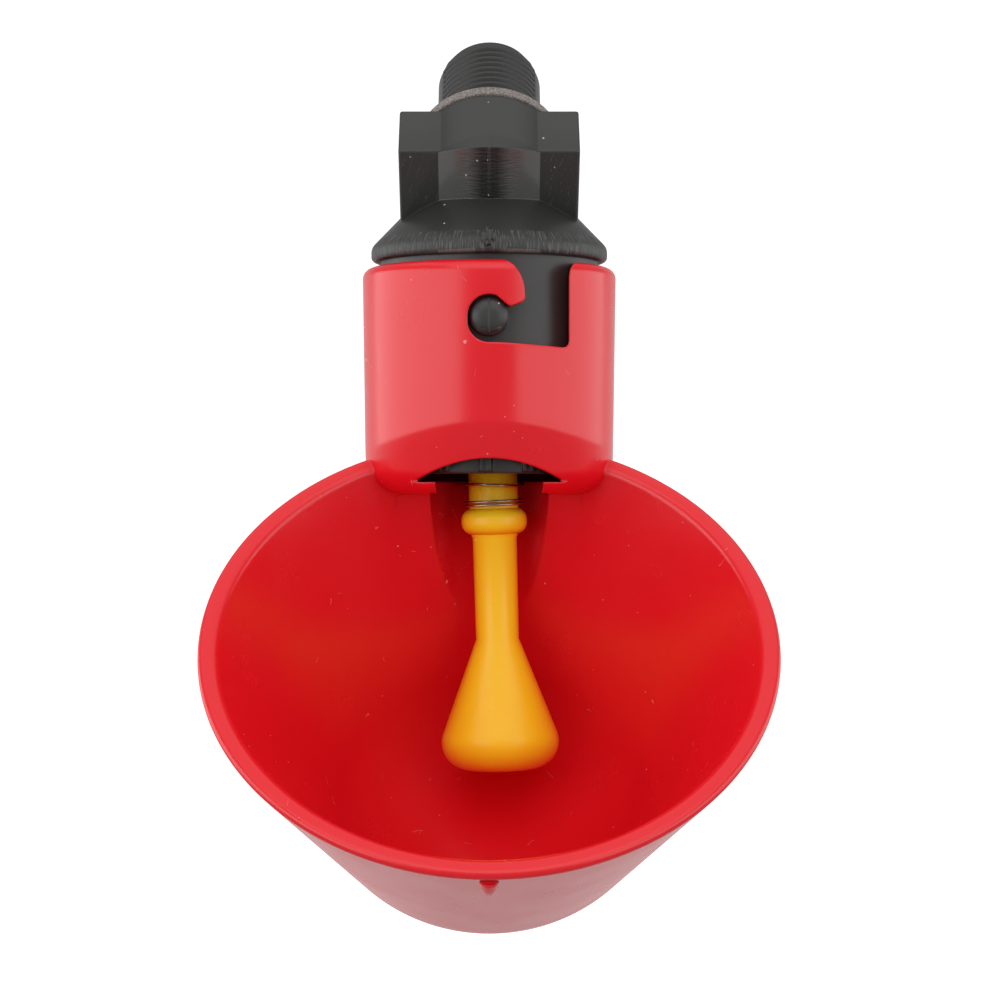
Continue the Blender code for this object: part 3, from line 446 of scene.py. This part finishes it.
# The body starts as the saucer and neck, then gains and loses shapes in the order of this function.
def makeValve():
    v = valve
    rise = (v["saucerRadius"] - v["saucerTopRadius"]) * math.tan(math.radians(v["slope"]))
    top = v["rimHeight"] + rise
    fall = v["edgeRound"] * math.tan(math.radians((90 - v["slope"]) / 2))
    profile = [(0, top), (v["saucerTopRadius"], top)]
    corner = (v["saucerRadius"] - v["edgeRound"], v["rimHeight"] - fall)
    profile += arc(corner, v["edgeRound"], 90 - v["slope"], 0, 8)
    corner = (v["saucerRadius"] - v["rimRound"], v["rimUnder"] + v["rimRound"])
    profile += arc(corner, v["rimRound"], 0, -90, 6) + [(v["neckRadius"], v["rimUnder"])]
    corner = (v["neckRadius"] - v["neckRound"], v["neckRound"] - v["neckLength"])
    profile += arc(corner, v["neckRound"], 0, -90, 5) + [(0, -v["neckLength"])]
    body = toObject("dressedValveBody", spinProfile(profile, socketSteps), socketFrame)

    # The saucer is cut flat behind, where the block and its round boss grow from it.
    seat = -v["seatPlane"]
    front = seat - v["blockLength"]
    combine(body, boxShape((-beyond, seat, -v["cutLow"]), (beyond, beyond, beyond)), "DIFFERENCE")
    low = (-v["blockWidth"], front, -v["blockHeight"])
    high = (v["blockWidth"], seat, v["blockHeight"])
    combine(body, boxShape(low, high, v["blockEdge"]), "UNION")
    nose = front + v["bossInset"]
    boss = spinProfile([(0, seat), (v["bossRadius"], seat), (v["bossRadius"], nose), (0, nose)], pipeSteps)
    combine(body, boss, "UNION", halfStep(pipeFrame, pipeSteps))
    addColumn(body, front)
    addSpigot(body)
    addPins(body)

    inlet = [(0, 22), (v["inletRadius"], 22), (v["inletRadius"], -v["inletDepth"]), (0, -v["inletDepth"])]
    combine(body, spinProfile(inlet, 64), "DIFFERENCE", halfStep(pipeFrame, pipeSteps))
    chamber = [(0, -v["chamberTop"]), (v["chamberRadius"], -v["chamberTop"])]
    chamber += [(v["chamberRadius"], -v["nutWellTop"]), (v["nutWell"], -v["nutWellTop"])]
    chamber += [(v["nutWell"], -31), (0, -31)]
    combine(body, spinProfile(chamber, 80), "DIFFERENCE", halfStep(socketFrame, socketSteps))
    return finishPiece(body, "valve", blackPlastic, ["valve_body"])


# The bulged column, chamfered at its top, with the mould's parting rib down its middle.
def addColumn(body, front):
    v = valve
    nose = front - v["columnBulge"]
    side = [(0, front + 2), (v["bossRadius"], front + 2), (v["bossRadius"], front)]
    side += [(v["bossRadius"] - v["columnDraft"], nose), (0, nose)]
    column = toObject("column", spinProfile(side, pipeSteps), pipeFrame)
    radius = (v["columnWidth"] ** 2 + v["columnBulge"] ** 2) / (2 * v["columnBulge"])
    outer = radius + v["drumSlip"]
    reach = v["drumReach"]
    drum = spinProfile([(0, reach), (outer, reach), (outer, -reach), (0, -reach)], 200)
    combine(column, drum, "INTERSECT", Matrix.Translation((0, nose + radius, 0)))
    combineObject(body, column, "UNION")
    low = (-v["ribWidth"], nose - v["ribProud"], -v["ribLow"])
    high = (v["ribWidth"], nose + 2, v["ribHigh"])
    combine(body, boxShape(low, high, v["ribEdge"], 2), "UNION")


# The spigot, with its tapered nose and the relief that leaves two smooth lands at its sides.
def addSpigot(body):
    v = valve
    end = v["threadLength"]
    lead = end - v["leadIn"]
    spigot = [(0, end), (v["tipRadius"], end), (v["tipRadius"] + v["noseWide"], end - v["noseLong"])]
    spigot += [(v["threadRadius"], lead - 0.4), (v["threadRadius"], -4), (0, -4)]
    combine(body, spinProfile(spigot, pipeSteps), "UNION", pipeFrame)
    root = v["threadRadius"] - v["threadDepth"]
    taper = (v["threadRadius"] - v["tipRadius"]) / v["leadIn"]
    ring = [(root, -v["threadRoot"]), (root, lead), (root - taper * 6, lead + 6), (12, lead + 6)]
    ring += [(12, -v["threadRoot"])]
    relief = toObject("relief", spinProfile(ring, pipeSteps, True), halfStep(pipeFrame, pipeSteps))
    lands = boxShape((-20, -30, -v["landHeight"]), (20, 30, v["landHeight"]))
    combine(relief, lands, "DIFFERENCE")
    combineObject(body, relief, "DIFFERENCE")


# The two domed bayonet pins, the front one with the mould's seam across it.
def addPins(body):
    v = valve
    for turn in (1, -1):
        tilt = Matrix.Translation((0, 0, -v["pinDown"])) @ Matrix.Rotation(turn * math.pi / 2, 4, "X")
        centre = (v["pinRadius"] - v["domeWide"], v["pinReach"] - v["domeHigh"])
        dome = [(0, v["pinReach"])] + arc(centre, v["domeWide"], 84, 0, 12, v["domeHigh"])
        dome += [(v["pinRadius"], 15), (0, 15)]
        combine(body, spinProfile(dome, 64), "UNION", socketFrame @ tilt)
    low = (-v["seamWidth"], -v["pinReach"] - v["seamProud"], -v["pinDown"] - v["seamReach"])
    high = (v["seamWidth"], 1 - v["pinReach"], v["seamReach"] - v["pinDown"])
    combine(body, boxShape(low, high, 0.05, 2), "UNION", socketFrame)


# The shares give how far the section's root, flank and crest reach from its middle, in half pitches.
thread = {"pitch": 1.337, "firstRise": 0.9, "rootSink": 0.15, "crestRound": 0.12, "rootShare": 0.98,
          "flankShare": 0.3, "crestShare": 0.14, "lap": 1.5, "steps": 32}


# The pipe thread: a blunt ridge climbs a helix, but only above and below the two smooth side lands.
def makeThread():
    v = valve
    t = thread
    root = v["threadRadius"] - v["threadDepth"] - t["rootSink"]
    crest = v["threadRadius"]
    half = t["pitch"] / 2
    upper = [(crest, half * t["crestShare"]), (crest - t["crestRound"], half * t["flankShare"])]
    upper += [(root, half * t["rootShare"])]
    section = [(radius, -offset) for radius, offset in reversed(upper)] + upper
    lead = v["threadLength"] - v["leadIn"]
    taper = (v["threadRadius"] - v["tipRadius"]) / v["leadIn"]
    start = math.degrees(math.asin(v["landHeight"] / crest)) - t["lap"]
    sweep = math.radians(180 - 2 * start)
    climb = t["pitch"] / (2 * math.pi)
    shape = bmesh.new()
    for halfTurn in range(2 * int(v["threadLength"] / t["pitch"]) - 1):
        angle = math.radians(180 * halfTurn + start)
        rise = t["firstRise"] + climb * angle
        verts = [shape.verts.new((radius, 0, rise + offset)) for radius, offset in section]
        bmesh.ops.rotate(shape, cent=(0, 0, 0), matrix=Matrix.Rotation(angle, 3, "Z"), verts=verts)
        face = shape.faces.new(verts)
        bmesh.ops.spin(shape, geom=[face], cent=(0, 0, 0), axis=(0, 0, 1), angle=sweep, steps=t["steps"],
                       dvec=(0, 0, climb * sweep / t["steps"]))
    for vert in shape.verts:
        radius = math.hypot(vert.co.x, vert.co.y)
        shrink = 1 - taper * max(vert.co.z - lead, 0) / radius
        vert.co.x *= shrink
        vert.co.y *= shrink
    bmesh.ops.recalc_face_normals(shape, faces=shape.faces)
    piece = toObject("pipeThread", shape, pipeFrame)
    return finishPiece(piece, "valve", blackPlastic, (), 50)


scar = {"spot": (-0.1, -18.5, 3.1), "size": (1.0, 0.75, 1.3, 1), "lumps": (0.5, 2.1), "grit": (0.12, 5.3)}


# The scar where the moulding gate was snipped from the saucer's rim.
def makeScar():
    shape = bmesh.new()
    bmesh.ops.create_icosphere(shape, subdivisions=4, radius=1)
    for vert in shape.verts:
        lumps = scar["lumps"][0] * noise.noise(vert.co * scar["lumps"][1])
        vert.co *= 1 + lumps + scar["grit"][0] * noise.noise(vert.co * scar["grit"][1])
    place = socketFrame @ Matrix.Translation(scar["spot"]) @ Matrix.Diagonal(scar["size"])
    return finishPiece(toObject("gateScar", shape, place), "valve", blackPlastic, (), 180)


makeValve()
makeThread()
makeScar()
print("valve body made")

gasket = {"radius": 11.6, "bore": 8.5, "thickness": 1.7, "edge": 0.3}
nut = {"radius": 14.9, "top": 28.7, "bottom": 32.8, "edge": 0.3, "plug": 13.0, "plugTop": 24.1,
       "seatWell": 8.5, "web": 5.2, "webTop": 28.0, "webBottom": 29.5, "pocket": 6.9, "ribs": 14,
       "ribWidth": 0.95, "ribHeight": 0.5, "ribSink": 1.3, "ribEdge": 0.22, "turn": -2.2,
       "grooveWidth": 0.35, "grooveFloor": 0.2, "grooveEdge": 0.1}


def makeGasket():
    g = gasket
    corner = g["radius"] - g["edge"]
    profile = [(g["bore"], 0)] + arc((corner, -g["edge"]), g["edge"], 90, 0, 4)
    profile += arc((corner, g["edge"] - g["thickness"]), g["edge"], 0, -90, 4)
    profile += [(g["bore"], -g["thickness"])]
    piece = toObject("dressedGasket", spinProfile(profile, pipeSteps, True), pipeFrame)
    return finishPiece(piece, "valve", gasketRubber, ["thread_gasket"])


# The nut: a turned ring with grooved grip ribs, a plug in the neck and a pocket for the spring.
def makeNut():
    n = nut
    corner = n["radius"] - n["edge"]
    profile = [(n["web"], -n["webBottom"]), (n["web"], -n["webTop"]), (n["seatWell"], -n["webTop"])]
    profile += [(n["seatWell"], -n["plugTop"]), (n["plug"], -n["plugTop"]), (n["plug"], -n["top"])]
    profile += arc((corner, -n["top"] - n["edge"]), n["edge"], 90, 0, 3)
    profile += arc((corner, n["edge"] - n["bottom"]), n["edge"], 0, -90, 3)
    profile += [(n["pocket"], -n["bottom"]), (n["pocket"], -n["webBottom"])]
    piece = toObject("dressedNut", spinProfile(profile, 112, True), socketFrame)
    for index in range(n["ribs"]):
        turn = Matrix.Rotation(math.radians(360 * index / n["ribs"] + n["turn"]), 4, "Z")
        low = (-n["ribWidth"], n["radius"] - n["ribSink"], -n["bottom"] + n["edge"])
        high = (n["ribWidth"], n["radius"] + n["ribHeight"], -n["top"] - n["edge"])
        combine(piece, boxShape(low, high, n["ribEdge"]), "UNION", socketFrame @ turn)
        low = (-n["grooveWidth"], n["radius"] + n["grooveFloor"], low[2] - 1)
        high = (n["grooveWidth"], n["radius"] + 1, high[2] + 1)
        combine(piece, boxShape(low, high, n["grooveEdge"], 2), "DIFFERENCE", socketFrame @ turn)
    return finishPiece(piece, "valve", blackPlastic, ["retaining_nut"])


makeGasket()
makeNut()
print("gasket and nut made")

# Heights of the spring and the trigger are measured from the trigger's pivot.
spring = {"wire": 0.43, "radius": 4.75, "topRadius": 5.1, "turns": 3.5, "closed": 1.5, "start": 180,
          "low": -15.045, "high": -7.725, "tilt": 0.85, "coilGap": 0.1, "pointsPerTurn": 40}
trigger = {"tip": 2.0, "tipTop": 2.2, "shoulder": -5.71, "upper": 3.9, "shoulderEdge": 0.3, "flange": 5.2,
           "flangeTop": -15.41, "flangeHeight": 4.2, "flangeRound": 0.45, "shaftTop": 3.5, "shaftEnd": 3.4,
           "shaftEndAt": -36.21, "bell": 9.3, "bellAt": -52.51, "bellEnd": -56.81}


# The spring: closed turns at its foot, open ones above, leaning so that the coils cross the rod aslant.
def makeSpring():
    s = spring
    curve = bpy.data.curves.new("springLine", "CURVE")
    curve.dimensions = "3D"
    curve.bevel_depth = s["wire"] / 2
    curve.bevel_resolution = 3
    curve.use_fill_caps = True
    count = int(s["turns"] * s["pointsPerTurn"])
    line = curve.splines.new("POLY")
    line.points.add(count)
    closedRise = s["closed"] * (s["wire"] + s["coilGap"])
    openRise = s["high"] - s["low"] - closedRise
    for index in range(count + 1):
        turns = s["turns"] * index / count
        share = max(0, (turns - s["closed"]) / (s["turns"] - s["closed"]))
        height = s["low"] + closedRise * min(turns / s["closed"], 1) + openRise * share
        radius = s["radius"] + (s["topRadius"] - s["radius"]) * max(0, share * 2 - 1)
        angle = math.radians(s["start"] + 360 * turns)
        height -= s["tilt"] * math.cos(angle) * min(share * 4, (1 - share) * 4, 1)
        line.points[index].co = (radius * math.cos(angle), radius * math.sin(angle), height, 1)
    item = bpy.data.objects.new("springLine", curve)
    scene.collection.objects.link(item)
    mesh = bpy.data.meshes.new_from_object(item.evaluated_get(bpy.context.evaluated_depsgraph_get()))
    bpy.data.objects.remove(item)
    shape = bmesh.new()
    shape.from_mesh(mesh)
    bmesh.ops.remove_doubles(shape, verts=shape.verts, dist=mergeGap)
    piece = toObject("dressedSpring", shape, leanFrame)
    return finishPiece(piece, "trigger", springSteel, ["trigger_spring"], 60)


# The trigger: tip, rod, rounded flange, slim shaft and bell in one turned profile.
def makeTrigger():
    t = trigger
    edge = t["shoulderEdge"]
    profile = [(0, t["tipTop"]), (t["tip"], t["tipTop"]), (t["tip"], t["shoulder"])]
    profile += [(t["upper"] - edge, t["shoulder"]), (t["upper"], t["shoulder"] - edge)]
    profile += [(t["upper"], t["flangeTop"])]
    rounding = t["flangeRound"] * t["flangeHeight"]
    centre = t["flange"] - rounding
    end = t["flangeTop"] - t["flangeHeight"]
    profile += arc((centre, t["flangeTop"] - rounding), rounding, 75, 0, 10)
    profile += arc((centre, end + rounding), rounding, 0, -80, 10)
    profile += [(t["shaftTop"] + 0.2, end - 0.1), (t["shaftTop"], end - 0.5)]
    profile += [(t["shaftEnd"], t["shaftEndAt"])]
    rounding = t["bellAt"] - t["bellEnd"]
    profile += arc((t["bell"] - rounding, t["bellAt"]), rounding, 18, -90, 16) + [(0, t["bellEnd"])]
    piece = toObject("dressedTrigger", spinProfile(profile, 96), leanFrame)
    return finishPiece(piece, "trigger", yellowPlastic, ["trigger_stem"], 50)


makeSpring()
makeTrigger()
print("spring and trigger made")

cup = {
    "collar": 20.05, "collarFoot": 19.6, "topRound": 1.7, "footRound": 3.5, "boreDepth": 34.0, "floor": 2.0,
    "bore": 17.55, "recess": 9.4, "recessWall": 2.4, "recessAhead": 2.8, "mouth": 43.1, "depth": 49.0,
    "base": 19.9, "baseRound": 21.6, "wall": 2.4, "rimRound": 0.9, "rimInner": 1.4, "rimSwell": 0.55,
    "lipWidth": 12.0, "lipRise": 3.5, "lipSideRise": 0.2, "lipBend": 1.7, "bendTop": -25.0, "bendFall": 4.4,
    "bendPower": 1.12, "bendSide": 20.2, "bendFade": 3.5, "nubAhead": 41.5,
}
slot = {"pin": 2.95, "gap": 0.35, "floor": 4.0, "fall": 0.6, "left": 5.4, "right": 12.2, "corner": 1.0,
        "hookAcross": 3.3, "hookUp": 1.5, "hookSide": 2.65, "hookWide": 4.0, "hookTall": 5.4,
        "flare": 1.6, "flareTall": 2.6, "top": 11}
nubProfile = [(0, -2.2), (1.45, -2.2), (1.25, -3.8), (0.85, -5.0), (0.4, -5.6), (0, -5.7)]
cupFoot = -cup["boreDepth"] - cup["floor"]
recessFrame = socketFrame @ Matrix.Translation((0, -cup["recessAhead"], 0))


# The bowl's outer or inner line, from its mouth down the slope and round into its base.
def bowlOutline(radius, depth, base, baseRound, top):
    slope = (radius - base) / depth
    wallAngle = math.atan(slope)
    tangent = baseRound * math.tan((math.pi / 2 - wallAngle) / 2)
    centre = (base - tangent, baseRound - depth)
    base = arc(centre, baseRound, -math.degrees(wallAngle), -90, 24)
    return [(radius + slope * top, top)] + base + [(0, -depth)]


# The height of the collar's arched lower lip.
def lipEdge(x):
    rise = cup["lipSideRise"] + (cup["lipRise"] - cup["lipSideRise"]) * (1 - (x / cup["lipWidth"]) ** 2)
    return max(-cup["boreDepth"] + rise, cupFoot)


# What the lip is cut to: an arch over the trigger, with the recess's two straight sides below it.
def lipOutline():
    c = cup
    floor = -c["boreDepth"]
    arch = [(x, lipEdge(x)) for x in [c["lipWidth"] * (step / 16 - 1) for step in range(33)]]
    right = [(c["lipWidth"], floor - 0.15), (c["recess"] - 0.4, floor - 0.15), (c["recess"] - 0.4, floor - 4)]
    return [(-x, z) for x, z in reversed(right)] + arch + right


# One bayonet slot, seen along its pin: mouth, channel, floor, pocket round the pin, and hook.
def slotOutline():
    s = slot
    pocket = s["pin"] + s["gap"]
    floor = -s["floor"]
    low = floor - s["fall"] + s["corner"]
    top = valve["pinDown"] - 0.3
    points = [(s["right"] + s["flare"], s["top"])]
    points += arc((s["right"] + s["flare"], top - s["flareTall"]), s["flare"], 92, 180, 8, s["flareTall"])
    points += [(s["right"], low)] + arc((s["right"] - s["corner"], low), s["corner"], -20, -90, 6)
    points += [(pocket * 0.5, floor)] + arc((0, floor + pocket), pocket, -95, -180, 10)
    points += arc((0, 0), pocket, -180, -290, 16)
    points += [(s["hookAcross"] - 0.7, s["hookUp"] + 0.35), (s["hookAcross"] - 0.2, s["hookUp"] + 0.02)]
    points += [(s["hookAcross"], s["hookUp"]), (s["left"] - 0.4, s["hookSide"] - 0.5)]
    points += [(s["left"] - 0.1, s["hookSide"] - 0.2), (s["left"], s["hookSide"])]
    points += arc((s["left"] - s["hookWide"], top - s["hookTall"]), s["hookWide"], 0, 80, 12, s["hookTall"])
    return points + [(s["left"] - s["hookWide"], s["top"])]


# The bowl's shell with its nub and the wall behind the recess.
def makeBowl():
    c = cup
    slope = (c["mouth"] - c["base"]) / c["depth"]
    outline = bowlOutline(c["mouth"], c["depth"], c["base"], c["baseRound"], -c["rimRound"])
    corner = (outline[0][0] - c["rimRound"], -c["rimRound"])
    profile = [(0, 0)] + arc(corner, c["rimRound"], 90, 0, 8)[:-1] + outline
    body = toObject("dressedCup", spinProfile(profile, cupSteps), bowlFrame)
    nubPlace = bowlFrame @ Matrix.Translation((0, -c["nubAhead"], 0))
    combine(body, spinProfile(nubProfile, 32), "UNION", nubPlace)

    reach = c["recess"] + c["recessWall"]
    under = cupFoot - 3 * c["recess"]
    wall = spinProfile([(0, -35), (reach, -35), (reach, under), (0, under)], 128)
    wall = toObject("wall", wall, recessFrame)
    combine(wall, boxShape((-20, -20, under - 2), (20, 2, -30)), "DIFFERENCE", recessFrame)
    combineObject(body, wall, "UNION")

    depth = c["depth"] - c["wall"]
    radius = c["mouth"] - c["wall"] * math.sqrt(1 + slope ** 2)
    lean = math.degrees(math.atan(slope))
    edge = radius - c["rimSwell"] + c["rimInner"] * math.tan(math.radians(90 - lean) / 2)
    profile = [(0, 2), (edge, 2)] + arc((edge, -c["rimInner"]), c["rimInner"], 90, 180 - lean, 10)
    profile += [(radius - slope * 9 - 0.06, -9)]
    profile += bowlOutline(radius, depth, radius - slope * depth, c["baseRound"] - c["wall"], 0)[1:]
    return combine(body, spinProfile(profile, cupSteps), "DIFFERENCE", halfStep(bowlFrame, cupSteps))


# The collar's outer radius at a height: a slight draft, then a quarter round at its foot.
def collarRadius(height):
    c = cup
    start = c["footRound"] + cupFoot
    if height > start:
        share = min(max((height + 2) / (start + 2), 0), 1)
        return c["collar"] + (c["collarFoot"] - c["collar"]) * share
    reach = math.sqrt(max(c["footRound"] ** 2 - (height - start) ** 2, 0))
    return c["collarFoot"] - c["footRound"] + reach


# The collar is joined to the bowl, then bored, and its lip, recess and two slots are cut.
def makeCup():
    c = cup
    body = makeBowl()
    start = cupFoot + c["footRound"]
    profile = [(0, -0.3)] + arc((c["collar"] - c["topRound"], -2.0), c["topRound"], 90, 0, 8)
    # The rings stand closer below, where the lip is bent.
    heights = [-8, -14, -19, -22, -23.5]
    heights += [start * step / 22 - 24.2 * (1 - step / 22) for step in range(22)]
    profile += [(collarRadius(height), height) for height in heights]
    corner = (c["collarFoot"] - c["footRound"], start)
    profile += arc(corner, c["footRound"], 0, -90, 10) + [(0, cupFoot)]
    combine(body, spinProfile(profile, cupSteps), "UNION", socketFrame)
    combine(body, prismShape(lipOutline(), -22, -c["recessAhead"]), "DIFFERENCE", socketFrame)
    bore = [(0, 2), (c["bore"], 2), (c["bore"], -c["boreDepth"]), (0, -c["boreDepth"])]
    combine(body, spinProfile(bore, cupSteps), "DIFFERENCE", halfStep(socketFrame, cupSteps))
    end = c["recessWall"] + cupFoot - 3 * c["recess"]
    recess = spinProfile([(0, -32), (c["recess"], -32), (c["recess"], end), (0, end)], 128)
    combine(body, recess, "DIFFERENCE", halfStep(recessFrame, 128))
    for turn in (0, math.pi):
        spot = Matrix.Rotation(turn, 4, "Z") @ Matrix.Translation((0, 0, -valve["pinDown"]))
        combine(body, prismShape(slotOutline(), -22, -10), "DIFFERENCE", socketFrame @ spot)
    bendLip(body)
    return finishPiece(body, "cup", redPlastic, ["drinking_cup"], 30)


# Rolls the collar's front inwards to its lip, as a quarter round that starts on a low arch.
def bendLip(body):
    c = cup
    inverse = socketFrame.inverted()
    for vert in body.data.vertices:
        local = inverse @ vert.co
        reach = math.hypot(local.x, local.y)
        if local.y > 0 or local.z < cupFoot - 0.02 or abs(reach - collarRadius(local.z)) > 0.12:
            continue
        start = c["bendTop"] - c["bendFall"] * (local.x / 20) ** 2
        share = (start - local.z) / (start - lipEdge(local.x))
        if share > 0:
            fade = min(max((c["bendSide"] - abs(local.x)) / c["bendFade"], 0), 1)
            fade = fade * fade * (3 - 2 * fade)
            shrink = 1 - fade * c["lipBend"] * min(share, 1) ** c["bendPower"] / reach
            local.x *= shrink
            local.y *= shrink
            vert.co = socketFrame @ local


makeCup()
print("cup made")

# The seat washer and the valve head, hidden in the neck, keep their solids.
for node in ("seat_washer", "valve_head"):
    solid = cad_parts[node]
    solid.data.materials.clear()
    solid.data.materials.append(seatRubber)

# The studio, in metres; each soft box is (spot, width, height, radiance, line along its long side).
studio = {"lens": 95.41, "eye": (0.0002, -0.3293, 0.2523), "look": 45, "middle": (0, -0.037, -0.04),
          "floor": -0.34, "floorSize": 6, "paper": "#CDCDCD", "air": 0.38, "paperGlow": 0.62,
          "mirroredGlow": 0.2}
softBoxes = {
    "leftBox": ((-0.5, -0.045, 0.145), 1.28, 0.32, 2.05, (0, -1, 1)),
    "rightBox": ((0.5, -0.045, 0.145), 1.28, 0.32, 1.6, (0, -1, 1)),
    "backBox": ((0, 0.45, 0.5), 1.1, 0.7, 0.55, (1, 0, 0)),
    "topBox": ((0, -0.05, 0.75), 0.9, 0.6, 1.2, (1, 0, 0)),
}


def makeCamera():
    data = bpy.data.cameras.new("camera")
    data.lens = studio["lens"]
    data.sensor_width = 36
    data.clip_start = 0.01
    camera = bpy.data.objects.new("camera", data)
    camera.location = studio["eye"]
    camera.rotation_euler = (math.radians(studio["look"]), 0, 0)
    scene.collection.objects.link(camera)
    scene.camera = camera


# A soft box that faces the middle of the cup; its power follows from its radiance and area.
def makeSoftBox(name, spot, width, height, radiance, along):
    data = bpy.data.lights.new(name, "AREA")
    data.shape = "RECTANGLE"
    data.size = width
    data.size_y = height
    data.energy = radiance * width * height * math.pi
    light = bpy.data.objects.new(name, data)
    light.location = Vector(studio["middle"]) + Vector(spot)
    back = Vector(spot).normalized()
    side = (Vector(along) - back * back.dot(Vector(along))).normalized()
    light.rotation_mode = "QUATERNION"
    light.rotation_quaternion = Matrix((side, back.cross(side), back)).transposed().to_quaternion()
    scene.collection.objects.link(light)


# White paper that stays a shadow catcher: its own faint glow is seen by the eye and by mirrors only.
def makeFloor():
    shape = bmesh.new()
    bmesh.ops.create_grid(shape, x_segments=1, y_segments=1, size=studio["floorSize"])
    floor = toObject("floor", shape, Matrix.Translation((0, 0, studio["floor"])))
    material, tree, shader = newMaterial("matWhitePaper", studio["paper"], 0.9)
    ray = addNode(tree, "LightPath", {}).node
    mirrored = {0: ray.outputs["Is Glossy Ray"], 1: studio["mirroredGlow"]}
    mirrored = addNode(tree, "Math", mirrored, operation="MULTIPLY")
    seen = {0: ray.outputs["Is Camera Ray"], 1: ray.outputs["Is Transmission Ray"]}
    seen = addNode(tree, "Math", seen, operation="MAXIMUM")
    seen = addNode(tree, "Math", {0: seen, 1: mirrored}, operation="MAXIMUM")
    glow = addNode(tree, "Math", {0: seen, 1: studio["paperGlow"]}, operation="MULTIPLY")
    shader.inputs["Emission Color"].default_value = (1, 1, 1, 1)
    tree.links.new(glow, shader.inputs["Emission Strength"])
    floor.data.materials.append(material)


# White to the eye and dimmer as a light, so the air fills shadows without flattening them.
def makeWorld():
    world = bpy.data.worlds.new("studioAir")
    world.use_nodes = True
    scene.world = world
    tree = world.node_tree
    ray = addNode(tree, "LightPath", {}).node
    seen = {0: ray.outputs["Is Camera Ray"], 1: ray.outputs["Is Transmission Ray"]}
    seen = addNode(tree, "Math", seen, operation="MAXIMUM")
    strength = addNode(tree, "MapRange", {0: seen, 3: studio["air"], 4: 1.0})
    back = tree.nodes["Background"]
    back.inputs["Color"].default_value = (1, 1, 1, 1)
    tree.links.new(strength, back.inputs["Strength"])


makeCamera()
for name, box in softBoxes.items():
    makeSoftBox(name, *box)
makeFloor()
makeWorld()
scene.view_settings.view_transform = "Standard"
print("studio set")
